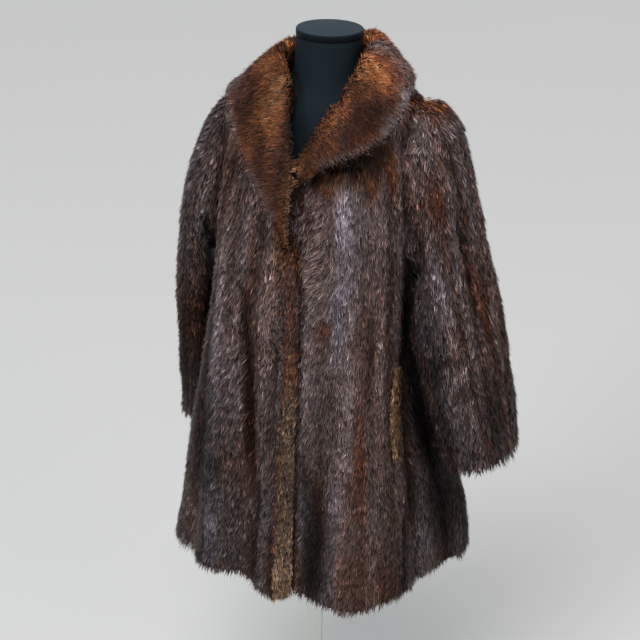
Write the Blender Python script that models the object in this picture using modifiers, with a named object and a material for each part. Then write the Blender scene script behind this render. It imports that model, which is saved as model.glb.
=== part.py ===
"""A three-quarter fur coat, worn open at the neck by a limbless dress form on a pole stand.

Metres, +Z up, the floor at Z 0. The coat faces -Y and the wearer's left is +X. The origin is the
centre of the stand's foot. A turn is an angle round the body: 0 at the front, 90 degrees at the
wearer's left side, 180 at the back. Every cloth piece is a wall whose outer side is where the
fur's tips lie and whose inner side is the lining.
"""

import math

import bmesh
import bpy
from mathutils import Matrix, Vector

# Driving sizes of the coat.
HEM = 0.530  # height of the hem at the front
UNDERARM = 1.070
SHOULDER_TIP = 1.345
NECK_POINT = 1.370  # where shoulder seam and neckline meet
WALL = 0.010  # skin and lining plus the pile of the fur
SEAM = 0.0003  # gap between neighbouring pieces
LEAN = 0.045  # the coat sits a little higher on its left shoulder
YAW = -7  # and it is turned a little to the wearer's right on the form, in degrees

# The body's outer side: half widths to the wearer's right and left, depth before and behind.
BODY_COLUMNS = ("height", "right", "left", "front", "back", "squareness")
BODY = [
    (0.480, 0.256, 0.266, 0.200, 0.190, 2.10),
    (0.530, 0.250, 0.263, 0.198, 0.186, 2.10),
    (0.620, 0.236, 0.254, 0.190, 0.178, 2.12),
    (0.730, 0.226, 0.228, 0.181, 0.168, 2.15),
    (0.850, 0.208, 0.184, 0.171, 0.157, 2.20),
    (0.950, 0.190, 0.160, 0.164, 0.149, 2.25),
    (1.050, 0.174, 0.152, 0.160, 0.142, 2.30),
    (1.130, 0.167, 0.150, 0.158, 0.137, 2.35),
    (1.200, 0.162, 0.150, 0.150, 0.132, 2.35),
    (1.260, 0.157, 0.150, 0.136, 0.125, 2.30),
    (1.300, 0.153, 0.149, 0.120, 0.117, 2.25),
    (1.330, 0.147, 0.146, 0.101, 0.107, 2.20),
    (1.345, 0.139, 0.139, 0.090, 0.098, 2.20),
    (1.356, 0.118, 0.118, 0.082, 0.090, 2.15),
    (1.366, 0.094, 0.094, 0.075, 0.081, 2.10),
    (1.376, 0.072, 0.072, 0.068, 0.072, 2.10),
]

# Soft folds that run down to the hem. Depth is at the hem, and is negative in a trough.
FOLD_COLUMNS = ("turn", "spread", "depth", "top", "fade")
FOLDS = [
    (-97, 13, 0.008, 0.88, 0.30),
    (-63, 6, -0.020, 0.92, 0.34),
    (-47, 7, 0.004, 0.92, 0.30),
    (-33, 7, -0.030, 1.08, 0.40),
    (-21, 4, -0.008, 0.86, 0.30),
    (-3, 5, -0.016, 0.84, 0.28),
    (8, 6, -0.006, 0.80, 0.25),
    (26, 12, 0.012, 0.98, 0.40),
    (62, 8, -0.030, 1.02, 0.46),
    (73, 6, -0.012, 0.92, 0.40),
    (86, 8, -0.006, 0.94, 0.40),
    (104, 11, 0.010, 0.90, 0.34),
    (125, 8, -0.022, 0.98, 0.42),
    (146, 9, 0.014, 0.96, 0.40),
    (164, 7, -0.016, 1.04, 0.46),
    (184, 9, 0.013, 0.98, 0.42),
    (204, 8, -0.020, 1.00, 0.44),
    (224, 9, 0.012, 0.92, 0.36),
    (246, 9, -0.010, 0.90, 0.42),
]

# Hollows that the hanging sleeves press into the coat, as gaussians.
DENT_COLUMNS = ("turn", "spread", "height", "reach", "depth")
DENTS = [
    (-116, 24, 0.84, 0.22, -0.044),
]

# How far the hem rises or drops round the coat.
HEM_COLUMNS = ("turn", "rise")
HEM_LINE = [
    (-180, 0.010),
    (-140, 0.004),
    (-100, 0.000),
    (-80, 0.006),
    (-66, 0.026),
    (-52, 0.027),
    (-34, 0.022),
    (-22, 0.018),
    (-13, 0.006),
    (-4, 0.012),
    (4, 0.010),
    (15, 0.004),
    (24, 0.001),
    (34, 0.006),
    (45, 0.013),
    (56, 0.016),
    (66, 0.024),
    (74, 0.032),
    (87, 0.022),
    (96, 0.019),
    (140, 0.012),
    (180, 0.010),
]

# Fronts. The right one laps over the left one, and each has an edge band.
EDGE_RIGHT = -0.012  # X of the right front's edge, which shows
EDGE_LEFT = -0.042  # X of the left front's edge, which is covered
EDGE_TURN = 0.018  # how far the right front's edge draws back under its lapel
BAND = 0.029  # width of an edge band
BREAK_RIGHT = 1.210  # height where a front's neckline slants away, under its lapel
BREAK_LEFT = 1.255
NECK_SIDE = 0.070  # half width of the neckline at the neck point
LAP_SLOPE = 0.042  # width over which the left front dips under the right one
LAP_MARGIN = 0.007  # how far it stays fully dipped past the right front's edge
LAP_GAP = 0.003

# Armholes, as ellipses seen from the side.
ARM_FRONT = 0.072
ARM_BACK = 0.080
ARM_SHIFT = 0.0

# Sleeves: the outer and the inner line seen from the front, then the ring's middle and half depth
# seen from the side, its twist about the vertical in degrees, and a crease depth.
SLEEVE_COLUMNS = ("out_x", "out_z", "in_x", "in_z", "mid_y", "deep", "twist", "crease")
SLEEVE_LEFT = [
    (0.140, 1.345, 0.156, 1.070, -0.014, 0.077, 0, 0),
    (0.166, 1.347, 0.160, 1.078, -0.014, 0.081, 0, 0),
    (0.189, 1.327, 0.163, 1.080, -0.016, 0.085, 2, 0),
    (0.208, 1.296, 0.164, 1.068, -0.018, 0.088, 6, 0),
    (0.221, 1.255, 0.164, 1.046, -0.021, 0.089, 11, 0.001),
    (0.232, 1.204, 0.161, 1.016, -0.025, 0.089, 16, 0.001),
    (0.244, 1.148, 0.160, 0.982, -0.029, 0.088, 20, 0.001),
    (0.261, 1.088, 0.164, 0.944, -0.033, 0.088, 23, 0.002),
    (0.279, 1.025, 0.173, 0.906, -0.036, 0.087, 24, 0.002),
    (0.296, 0.962, 0.186, 0.866, -0.038, 0.086, 24, 0.001),
    (0.310, 0.898, 0.200, 0.824, -0.038, 0.085, 23, -0.003),
    (0.322, 0.837, 0.213, 0.786, -0.038, 0.083, 21, -0.002),
    (0.332, 0.784, 0.224, 0.756, -0.038, 0.082, 20, 0),
]
SLEEVE_RIGHT = [
    (0.140, 1.345, 0.169, 1.070, 0.022, 0.077, 0, 0),
    (0.161, 1.340, 0.172, 1.078, 0.022, 0.082, 0, 0),
    (0.181, 1.320, 0.174, 1.082, 0.025, 0.085, -2, 0),
    (0.198, 1.290, 0.177, 1.074, 0.030, 0.087, -6, 0),
    (0.210, 1.248, 0.177, 1.056, 0.037, 0.087, -11, 0),
    (0.219, 1.195, 0.174, 1.028, 0.046, 0.087, -16, 0.001),
    (0.225, 1.135, 0.170, 0.992, 0.056, 0.087, -21, 0.001),
    (0.229, 1.070, 0.165, 0.950, 0.066, 0.087, -26, 0.001),
    (0.233, 1.000, 0.160, 0.905, 0.077, 0.087, -30, 0.001),
    (0.237, 0.930, 0.156, 0.860, 0.088, 0.085, -33, -0.001),
    (0.241, 0.862, 0.154, 0.815, 0.098, 0.084, -34, -0.002),
    (0.243, 0.796, 0.154, 0.770, 0.106, 0.083, -34, 0.001),
    (0.245, 0.735, 0.156, 0.722, 0.112, 0.083, -34, 0),
]

# Collar: along its length the roll and the free edge, as a turn, a radius from the neck's axis and
# a height, then how far the stand reaches down inside the roll. The turns run from the right
# front round the back to the left front.
COLLAR_COLUMNS = (
    "roll_turn", "roll_radius", "roll_height", "edge_turn", "edge_radius", "edge_height", "stand",
)
COLLAR = [
    (-9, 0.169, 1.166, -11, 0.172, 1.150, 0.004),
    (-10.5, 0.158, 1.213, -16, 0.170, 1.184, 0.010),
    (-11, 0.148, 1.260, -25, 0.166, 1.220, 0.014),
    (-16, 0.134, 1.306, -36, 0.161, 1.261, 0.020),
    (-24, 0.112, 1.347, -50, 0.160, 1.300, 0.028),
    (-40, 0.083, 1.394, -64, 0.158, 1.334, 0.038),
    (-66, 0.076, 1.418, -80, 0.153, 1.354, 0.048),
    (-100, 0.078, 1.423, -104, 0.140, 1.352, 0.054),
    (-140, 0.080, 1.426, -140, 0.130, 1.340, 0.057),
    (-180, 0.082, 1.428, -180, 0.127, 1.334, 0.058),
    (-220, 0.080, 1.429, -220, 0.124, 1.342, 0.056),
    (-256, 0.077, 1.428, -254, 0.127, 1.356, 0.052),
    (-288, 0.075, 1.426, -283, 0.131, 1.366, 0.046),
    (-313, 0.079, 1.414, -300, 0.144, 1.342, 0.040),
    (-332, 0.094, 1.388, -315, 0.153, 1.318, 0.032),
    (-348, 0.107, 1.360, -330, 0.156, 1.302, 0.026),
    (-359, 0.122, 1.330, -345, 0.156, 1.289, 0.020),
    (-365.5, 0.135, 1.299, -357, 0.153, 1.275, 0.012),
    (-368.5, 0.144, 1.273, -365, 0.153, 1.256, 0.004),
]
COLLAR_WALL = 0.011
COLLAR_ARCH = 0.007  # how far the fall bows up between the roll and the free edge
ROLL_THIN = 0.6  # share of the wall taken off inside the roll, so that it doesn't cross itself
SEAM_CLEAR = 0.004  # how far the lapels' inner edge lies from the fronts
INNER_COLUMN = 4  # the lapels' inner side runs straight as far as this column
FOLD_COLUMN = 6  # the lapels' fold is filled as far as this column

# Pocket welt on the left front: its top and bottom, and its turn round the body at each.
WELT_TOP, WELT_BOTTOM = 0.948, 0.796
WELT_TURNS = (53.5, 48.5)
WELT_BEND = 1.6  # degrees that it bows towards the front
WELT_WIDTH, WELT_WALL, WELT_GAP = 0.016, 0.006, 0.0006

# Dress form and stand.
FORM_COLUMNS = ("height", "side", "front", "back", "squareness")
FORM = [
    (0.735, 0.060, 0.045, 0.050, 2.0),
    (0.738, 0.118, 0.086, 0.090, 2.1),
    (0.752, 0.138, 0.098, 0.104, 2.2),
    (0.820, 0.145, 0.104, 0.112, 2.2),
    (0.900, 0.134, 0.098, 0.100, 2.2),
    (1.000, 0.117, 0.088, 0.084, 2.2),
    (1.060, 0.122, 0.096, 0.088, 2.2),
    (1.130, 0.132, 0.114, 0.094, 2.3),
    (1.170, 0.136, 0.114, 0.100, 2.3),
    (1.230, 0.140, 0.100, 0.102, 2.3),
    (1.280, 0.141, 0.088, 0.098, 2.3),
    (1.306, 0.139, 0.080, 0.090, 2.2),
    (1.327, 0.133, 0.073, 0.082, 2.2),
    (1.341, 0.121, 0.066, 0.074, 2.1),
    (1.350, 0.103, 0.061, 0.068, 2.1),
    (1.358, 0.082, 0.057, 0.062, 2.0),
    (1.368, 0.063, 0.053, 0.056, 2.0),
    (1.384, 0.054, 0.051, 0.053, 2.0),
    (1.405, 0.051, 0.050, 0.051, 2.0),
    (1.438, 0.050, 0.050, 0.050, 2.0),
]
CAP_RADIUS, CAP_THICK, CAP_EDGE = 0.0505, 0.012, 0.002
POLE_RADIUS = 0.0148
FOOT_RADIUS, FOOT_THICK, FOOT_EDGE = 0.170, 0.012, 0.003
FERRULE_RADIUS, FERRULE_HEIGHT = 0.030, 0.034

# How finely the walls are divided.
FRONT_STEPS, BACK_STEPS = 15, 28
SKIRT_LEVELS, ARM_LEVELS, SHOULDER_LEVELS = 14, 10, 5
SLEEVE_RINGS = 22
SLEEVE_STEPS = 2 * ARM_LEVELS  # so that sleeves and panels share the armhole's corners
COLLAR_STEPS, COLLAR_ACROSS = 46, 9
FORM_STEPS, FORM_RINGS = 30, 32

COLOURS = {
    "fur": ((0.060, 0.036, 0.030, 1), 0.55, 0.0),
    "collar_fur": ((0.190, 0.078, 0.034, 1), 0.55, 0.0),
    "band_fur": ((0.220, 0.130, 0.060, 1), 0.55, 0.0),
    "form_jersey": ((0.016, 0.021, 0.027, 1), 0.80, 0.0),
    "form_cap": ((0.040, 0.052, 0.062, 1), 0.45, 0.0),
    "steel": ((0.620, 0.630, 0.640, 1), 0.18, 1.0),
}


def ease(share):
    """0 below 0, 1 above 1 and a smooth step between."""
    share = min(1.0, max(0.0, share))
    return share * share * (3 - 2 * share)


def column(table, columns, name):
    return [row[columns.index(name)] for row in table]


def slopes(places, values):
    """Slopes that carry a smooth curve through the values with no overshoot."""
    steps = [(v1 - v0) / (p1 - p0) for p0, p1, v0, v1 in zip(places, places[1:], values, values[1:])]
    inner = [2 * s * t / (s + t) if s * t > 0 else 0.0 for s, t in zip(steps, steps[1:])]
    return [steps[0], *inner, steps[-1]]


def along(places, values, place):
    """The value at a place, on that curve."""
    place = min(max(place, places[0]), places[-1])
    i = max(k for k in range(len(places) - 1) if places[k] <= place)
    m = slopes(places, values)
    width = places[i + 1] - places[i]
    t = (place - places[i]) / width
    rise = (1 + 2 * t) * (1 - t) ** 2 * values[i] + t * t * (3 - 2 * t) * values[i + 1]
    return rise + width * (t * (1 - t) ** 2 * m[i] + t * t * (t - 1) * m[i + 1])


def reader(table, columns, key):
    """A function that reads a named column of the table at a place, with answers kept."""
    places, kept = column(table, columns, key), {}

    def read(name, place):
        if (name, place) not in kept:
            kept[name, place] = along(places, column(table, columns, name), place)
        return kept[name, place]

    return read


body_at = reader(BODY, BODY_COLUMNS, "height")
hem_at = reader(HEM_LINE, HEM_COLUMNS, "turn")
form_at = reader(FORM, FORM_COLUMNS, "height")


def wrap(turn):
    """The turn as an angle from -180 to 180 degrees."""
    return (turn + 180) % 360 - 180


def oval_radius(turn, wide, deep, squareness):
    side, front = abs(math.sin(math.radians(turn))), abs(math.cos(math.radians(turn)))
    return ((side / wide) ** squareness + (front / deep) ** squareness) ** (-1 / squareness)


def fold_depth(turn, height):
    depth = 0.0
    for fold in FOLDS:
        centre, spread, at_hem, top, fade = fold
        apart = wrap(turn - centre) / spread
        depth += at_hem * math.exp(-apart * apart) * ease((top - height) / fade)
    for centre, spread, middle, reach, deepest in DENTS:
        apart = math.hypot(wrap(turn - centre) / spread, (height - middle) / reach)
        depth += deepest * math.exp(-apart * apart)
    return depth


def lap_depth(x, height):
    """How far the left front dips to pass under the right one."""
    under = ease((EDGE_RIGHT + LAP_MARGIN + LAP_SLOPE - x) / LAP_SLOPE)
    return (WALL + LAP_GAP) * under * ease((1.30 - height) / 0.05)


def outer(turn, height, lapped=False):
    """A point of the body's outer side."""
    turn = wrap(turn)
    wide = body_at("left" if turn > 0 else "right", height)
    deep = body_at("front" if abs(turn) < 90 else "back", height)
    radius = oval_radius(turn, wide, deep, body_at("squareness", height))
    radius += fold_depth(turn, height)
    x, y = radius * math.sin(math.radians(turn)), -radius * math.cos(math.radians(turn))
    rise = (hem_at("rise", turn) * (1 - ease((height - HEM) / 0.22))) if height < HEM + 0.22 else 0
    point = Vector((x, y, height + rise + LEAN * x * ease((height - 1.08) / 0.20)))
    if lapped and abs(turn) < 60:
        point -= outward(turn, height) * lap_depth(x, height)
    return point


def outward(turn, height, lapped=False):
    """The outer side's normal."""
    turn_step, height_step = 0.8, 0.003
    across = outer(turn + turn_step, height, lapped) - outer(turn - turn_step, height, lapped)
    up = outer(turn, height + height_step, lapped) - outer(turn, height - height_step, lapped)
    return across.cross(up).normalized()


def turn_at_x(x, height):
    """The turn at which the front of the body has this X."""
    low, high = -89.0, 89.0
    for _ in range(40):
        middle = (low + high) / 2
        low, high = (middle, high) if outer(middle, height).x < x else (low, middle)
    return (low + high) / 2


def turn_at_y(y, height, side):
    """The turn at which the body has this Y across the coat, on its left (1) or right (-1)."""
    low, high = 20.0, 160.0
    for _ in range(40):
        middle = (low + high) / 2
        point = outer(side * middle, height)
        across = point.y * math.cos(math.radians(YAW)) - point.x * math.sin(math.radians(YAW))
        low, high = (middle, high) if across < y else (low, middle)
    return side * (low + high) / 2


def arm_share(height):
    """The armhole's width at this height, as a share of its widest."""
    centre, half = (UNDERARM + SHOULDER_TIP) / 2, (SHOULDER_TIP - UNDERARM) / 2
    return math.sqrt(max(0.0, 1 - ((height - centre) / half) ** 2))


def side_turn(height, side, before):
    """Where a front or the back ends: the side seam, the armhole or the shoulder seam."""
    share = arm_share(height)
    if share == 0:
        return side * 90.0 + YAW
    if before:
        y = ARM_SHIFT * share - ARM_FRONT * share
    else:
        y = ARM_SHIFT * share + ARM_BACK * share
    return turn_at_y(y, height, side)


def levels():
    """The heights of a body panel's rows, close together at both ends of the armhole."""
    skirt = [HEM + (UNDERARM - HEM) * i / SKIRT_LEVELS for i in range(SKIRT_LEVELS)]
    middle, half = (UNDERARM + SHOULDER_TIP) / 2, (SHOULDER_TIP - UNDERARM) / 2
    arm = [middle - half * math.cos(math.pi * i / ARM_LEVELS) for i in range(ARM_LEVELS)]
    top = NECK_POINT - SHOULDER_TIP
    shoulder = [SHOULDER_TIP + top * i / SHOULDER_LEVELS for i in range(SHOULDER_LEVELS + 1)]
    return skirt + arm + shoulder


def edge_x(height, side):
    """X of a front's edge below the break."""
    return EDGE_RIGHT - EDGE_TURN * ease((height - 1.07) / 0.13) if side < 0 else EDGE_LEFT


def neckline_x(height, side):
    """X of a front's edge: up to the break, then along the V to the neck point."""
    edge = edge_x(height, side)
    start = BREAK_RIGHT if side < 0 else BREAK_LEFT
    if height <= start:
        return edge
    return edge + (side * NECK_SIDE - edge) * (height - start) / (NECK_POINT - start)


def wall(name, outside, inside, colour, ring=False):
    """A closed solid between two grids of points. With ring, each row runs round a tube."""
    rows, steps = len(outside), len(outside[0])
    made = bmesh.new()
    out, into = [[[made.verts.new(p) for p in row] for row in grid] for grid in (outside, inside)]
    last = steps if ring else steps - 1
    for i in range(rows - 1):
        for j in range(last):
            k = (j + 1) % steps
            for skin in (out, into):
                made.faces.new((skin[i][j], skin[i][k], skin[i + 1][k], skin[i + 1][j]))

    def rim(i, j, m, k):
        """Closes the wall along one rim edge. Neighbours' rims split the same way."""
        if (out[i][j].co.z, i, j) > (out[m][k].co.z, m, k):
            i, j, m, k = m, k, i, j
        made.faces.new((out[i][j], out[m][k], into[m][k]))
        made.faces.new((out[i][j], into[m][k], into[i][j]))

    for j in range(last):
        rim(0, j, 0, (j + 1) % steps)
        rim(rows - 1, j, rows - 1, (j + 1) % steps)
    if not ring:
        for i in range(rows - 1):
            rim(i, 0, i + 1, 0)
            rim(i, steps - 1, i + 1, steps - 1)
    bmesh.ops.triangulate(made, faces=made.faces)
    bmesh.ops.recalc_face_normals(made, faces=made.faces)
    return place(name, made, colour)


def place(name, made, colour):
    """Turns a bmesh into a named object with its material, smooth but for its sharp rims."""
    mesh = bpy.data.meshes.new(name)
    made.to_mesh(mesh)
    made.free()
    piece = bpy.data.objects.new(name, mesh)
    coat.objects.link(piece)
    piece.data.materials.append(materials[colour])
    mesh.shade_smooth()
    mesh.set_sharp_from_angle(angle=math.radians(40))
    return piece


def make_materials():
    made = {}
    for name, (colour, roughness, metallic) in COLOURS.items():
        material = bpy.data.materials.new(name)
        material.use_nodes = True
        shader = material.node_tree.nodes["Principled BSDF"]
        shader.inputs["Base Color"].default_value = colour
        shader.inputs["Roughness"].default_value = roughness
        shader.inputs["Metallic"].default_value = metallic
        material.diffuse_color = colour
        made[name] = material
    return made


def skins(spots, thick=WALL, lift=0.0):
    """Outer and inner points of (turn, height, lapped) spots on the body."""
    outside, inside = [], []
    for row in spots:
        sides = [(outer(*spot), outward(*spot)) for spot in row]
        outside.append([point + normal * lift for point, normal in sides])
        inside.append([point + normal * (lift - thick) for point, normal in sides])
    return outside, inside


def seam_turn(turn, height):
    """Half a seam's gap, as a turn."""
    return math.degrees(SEAM / 2 / outer(turn, height).xy.length) * 1.1


def front_panel(side):
    """One front, from beside its edge band to the side seam, the armhole and the shoulder."""
    lapped, spots = side > 0, []
    for height in levels():
        if height < (BREAK_RIGHT if side < 0 else BREAK_LEFT):
            start_x = edge_x(height, side) + side * (BAND + SEAM)
        else:
            start_x = neckline_x(height, side) + side * (BAND + SEAM)
            fade = ease((height - 1.27) / 0.07)
            start_x -= side * BAND * fade
        start = turn_at_x(start_x, height)
        end = side_turn(height, side, True)
        end -= side * seam_turn(end, height)
        if side * (end - start) < 1.5:
            start = end - side * 1.5
        row = [start + (end - start) * j / FRONT_STEPS for j in range(FRONT_STEPS + 1)]
        spots.append([(turn, height, lapped) for turn in (row[::-1] if side < 0 else row)])
    return skins([row if side > 0 else row for row in spots])


def back_panel():
    """The back, from one side seam round to the other."""
    spots = []
    for height in levels():
        start, end = side_turn(height, 1, False), 360 + side_turn(height, -1, False)
        start, end = start + seam_turn(start, height), end - seam_turn(end, height)
        step = (end - start) / BACK_STEPS
        spots.append([(start + step * j, height, False) for j in range(BACK_STEPS + 1)])
    return skins(spots)


def edge_band(side):
    """The narrow strip of light fur along a front's edge."""
    top = BREAK_RIGHT if side < 0 else BREAK_LEFT
    spots = []
    for height in [h for h in levels() if h <= top]:
        low = edge_x(height, side) - (BAND if side < 0 else 0)
        xs = [low + BAND * j / 3 for j in range(4)]
        spots.append([(turn_at_x(x, height), height, side > 0) for x in xs])
    return skins(spots)


def pocket_welt():
    """A raised strip of light fur that lies on the left front along its pocket."""
    top_turn, bottom_turn = WELT_TURNS
    spots = []
    for i in range(13):
        share = i / 12
        height = WELT_BOTTOM + (WELT_TOP - WELT_BOTTOM) * share
        bow = WELT_BEND * math.sin(math.pi * share)
        turn = bottom_turn + (top_turn - bottom_turn) * share - bow
        half = math.degrees(WELT_WIDTH / 2 / 0.17) * (0.72 + 0.28 * math.sin(math.pi * share))
        spots.append([(turn + half * k, height, True) for k in (-1, -0.4, 0.4, 1)])
    return skins(spots, WELT_WALL, WELT_WALL + WELT_GAP)


def armhole_ring(side):
    """Outer and inner points of the armhole's rim and the normal there, from the tip round."""
    ring = []
    for j in range(SLEEVE_STEPS):
        angle = 2 * math.pi * j / SLEEVE_STEPS
        half = (SHOULDER_TIP - UNDERARM) / 2
        height = UNDERARM + half + half * math.cos(angle)
        share = abs(math.sin(angle))
        before = math.sin(angle) > 0
        y = ARM_SHIFT * share + (-ARM_FRONT if before else ARM_BACK) * share
        turn = turn_at_y(y, height, side) if share > 1e-6 else side * 90.0 + YAW
        ring.append((outer(turn, height), outward(turn, height)))
    return ring


def sleeve_grid(table, side):
    """The rings of a sleeve, which grow out of the armhole and hang down to the cuff."""
    places = list(range(len(table)))
    rim = armhole_ring(side)
    middle = sum((point for point, _ in rim), Vector()) / len(rim)
    first = None
    outside = []
    for ring in range(SLEEVE_RINGS + 1):
        place = (len(table) - 1) * ring / SLEEVE_RINGS
        size = {name: along(places, column(table, SLEEVE_COLUMNS, name), place) for name in SLEEVE_COLUMNS}
        top, low = Vector((size["out_x"], 0, size["out_z"])), Vector((size["in_x"], 0, size["in_z"]))
        centre, half = (top + low) / 2, (top - low) / 2
        centre.y = size["mid_y"]
        row = []
        for j in range(SLEEVE_STEPS):
            angle = 2 * math.pi * j / SLEEVE_STEPS
            crease = 1 + size["crease"] / 0.05 * math.cos(3 * angle + 1.1 * place)
            spoke = half * math.cos(angle) + Vector((0, -size["deep"] * math.sin(angle), 0))
            spoke = Matrix.Rotation(math.radians(-size["twist"]), 3, "Z") @ (spoke * crease)
            point = centre + spoke
            point.x *= side
            row.append(point)
        first = first or [p.copy() for p in row]
        keep = 1 - ease(place / 4.0)
        for j, point in enumerate(row):
            shift = (rim[j][0] - first[j]) * keep
            lean = LEAN * point.x * ease((point.z - 1.08) / 0.20) * (1 - keep)
            row[j] = point + shift + Vector((0, 0, lean))
        outside.append(row)
    hole = [(middle - point).normalized() for point, _ in rim]
    for j, (point, normal) in enumerate(rim):
        into = (hole[j] - normal * hole[j].dot(normal)).normalized()
        outside[0][j] = point + into * SEAM
    return outside, [normal for _, normal in rim]


def sleeve(table, side):
    outside, rim_normals = sleeve_grid(table, side)
    steps = SLEEVE_STEPS
    inside = []
    for i, row in enumerate(outside):
        before, after = outside[max(0, i - 1)], outside[min(len(outside) - 1, i + 1)]
        points = []
        for j, point in enumerate(row):
            across = row[(j + 1) % steps] - row[j - 1]
            down = after[j] - before[j]
            normal = (across.cross(down) * side).normalized()
            if i == 0:
                normal = rim_normals[j]
            elif i == 1:
                normal = (normal + rim_normals[j]).normalized()
            points.append(point - normal * WALL)
        inside.append(points)
    if side < 0:
        outside = [row[::-1] for row in outside]
        inside = [row[::-1] for row in inside]
    return outside, inside


def neck_point(turn, radius, height):
    x, y = radius * math.sin(math.radians(turn)), -radius * math.cos(math.radians(turn))
    return Vector((x, y, height + LEAN * x * ease((height - 1.08) / 0.20)))


def body_level(point):
    """Under 1 inside the body's outer side, and over 1 outside it."""
    height = point.z - LEAN * point.x * ease((point.z - 1.08) / 0.20)
    if height > BODY[-1][0]:
        return 1 + (height - BODY[-1][0]) / 0.05
    wide = body_at("left" if point.x > 0 else "right", height)
    deep = body_at("front" if point.y < 0 else "back", height)
    power = body_at("squareness", height)
    return (abs(point.x / wide) ** power + abs(point.y / deep) ** power) ** (1 / power)


def clear_of_body(point, gap):
    """The point, moved straight out of the body until it is that far clear of it."""
    step = 0.0015
    for _ in range(6):
        level = body_level(point)
        slope = Vector([
            (body_level(point + axis * step) - body_level(point - axis * step)) / (2 * step)
            for axis in (Vector((1, 0, 0)), Vector((0, 1, 0)), Vector((0, 0, 1)))
        ])
        if slope.length < 1e-6:
            break
        short = gap - (level - 1) / slope.length
        if short <= 0:
            break
        point = point + slope.normalized() * short
    return point


def through(points, share):
    """A point on the smooth curve through the points, by share of its length in segments."""
    place = share * (len(points) - 1)
    i = min(int(place), len(points) - 2)
    t = place - i
    p1, p2 = points[i], points[i + 1]
    p0 = points[i - 1] if i else p1 * 2 - p2
    p3 = points[i + 2] if i + 2 < len(points) else p2 * 2 - p1
    m1, m2 = (p2 - p0) / 2, (p3 - p1) / 2
    spread = (1 + 2 * t) * (1 - t) ** 2 * p1 + t * t * (3 - 2 * t) * p2
    return spread + t * (1 - t) ** 2 * m1 + t * t * (t - 1) * m2


def on_neck(stand):
    """0 where the collar lies on the fronts, 1 where it stands on the neck edge."""
    return ease((stand - 0.026) / 0.012)


def neck_edge(turn):
    """The place on the coat's neck edge, just above the panels' inner corner."""
    turn = wrap(turn)
    wide = body_at("left" if turn > 0 else "right", NECK_POINT)
    deep = body_at("front" if abs(turn) < 90 else "back", NECK_POINT)
    radius = oval_radius(turn, wide, deep, body_at("squareness", NECK_POINT)) - WALL
    return neck_point(turn, radius, NECK_POINT + 2.5 * SEAM)


def collar_line(i):
    """The points across the collar, from the neck seam over the roll to the free edge."""
    place = (len(COLLAR) - 1) * i / COLLAR_STEPS
    places = list(range(len(COLLAR)))
    size = {}
    for name in COLLAR_COLUMNS:
        size[name] = along(places, column(COLLAR, COLLAR_COLUMNS, name), place)
    roll = (size["roll_turn"], size["roll_radius"], size["roll_height"])
    edge = (size["edge_turn"], size["edge_radius"], size["edge_height"])
    stand = size["stand"]
    seam = neck_point(roll[0], roll[1] - 0.014 - 0.05 * stand, roll[2] - stand)
    seam = seam.lerp(neck_edge(roll[0]), on_neck(stand))
    inner = neck_point(roll[0], roll[1] - 0.009, roll[2] - 0.42 * stand)
    top = neck_point(*roll)
    fall = neck_point(*edge)
    out = top.lerp(fall, 0.5)
    bow = (fall - top).cross(Vector((fall.y, -fall.x, 0))).normalized()
    if bow.z < 0:
        bow = -bow
    out += bow * COLLAR_ARCH * min(1.0, (fall - top).length / 0.07)
    return [seam, inner, top, out, fall], on_neck(stand)


def collar():
    """The shawl collar: a wall that stands round the neck, rolls over and falls outward."""
    gap, top, standing = COLLAR_WALL + 0.003, [], []
    for i in range(COLLAR_STEPS + 1):
        line, upright = collar_line(i)
        row = [through(line, j / COLLAR_ACROSS) for j in range(COLLAR_ACROSS + 1)]
        for j, point in enumerate(row):
            row[j] = clear_of_body(point, gap if j > 2 else SEAM_CLEAR - 0.05 * upright)
        for j in range(1, INNER_COLUMN):
            straight = row[0].lerp(row[INNER_COLUMN], j / INNER_COLUMN)
            row[j] = straight.lerp(row[j], upright)
        top.append(row)
        standing.append(upright)
    under = []
    for i, row in enumerate(top):
        before, after = top[max(0, i - 1)], top[min(COLLAR_STEPS, i + 1)]
        points = []
        for j, point in enumerate(row):
            across = row[min(COLLAR_ACROSS, j + 1)] - row[max(0, j - 1)]
            lengthwise = after[j] - before[j]
            normal = lengthwise.cross(across).normalized()
            edge = min(1.0, (COLLAR_ACROSS - j + 0.55) / 1.6)
            roll = 1 - ROLL_THIN * math.exp(-((j - COLLAR_ACROSS / 2) / 1.4) ** 2)
            points.append(point - normal * COLLAR_WALL * edge * roll)
        for j in range(FOLD_COLUMN):
            filled = row[0].lerp(points[FOLD_COLUMN], (j + 0.6) / (FOLD_COLUMN + 0.6))
            points[j] = filled.lerp(points[j], standing[i])
        points[0].z += (row[0].z - points[0].z) * standing[i]
        under.append(points)
    rough = [list(points) for points in under]
    for i in range(1, COLLAR_STEPS):
        for j in range(2, FOLD_COLUMN):  # evens out the inside of the roll
            beside = rough[i - 1][j] + rough[i + 1][j] + rough[i][j - 1] + rough[i][j + 1]
            under[i][j] = rough[i][j].lerp(beside / 4, 0.6)
    return top, under


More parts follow.
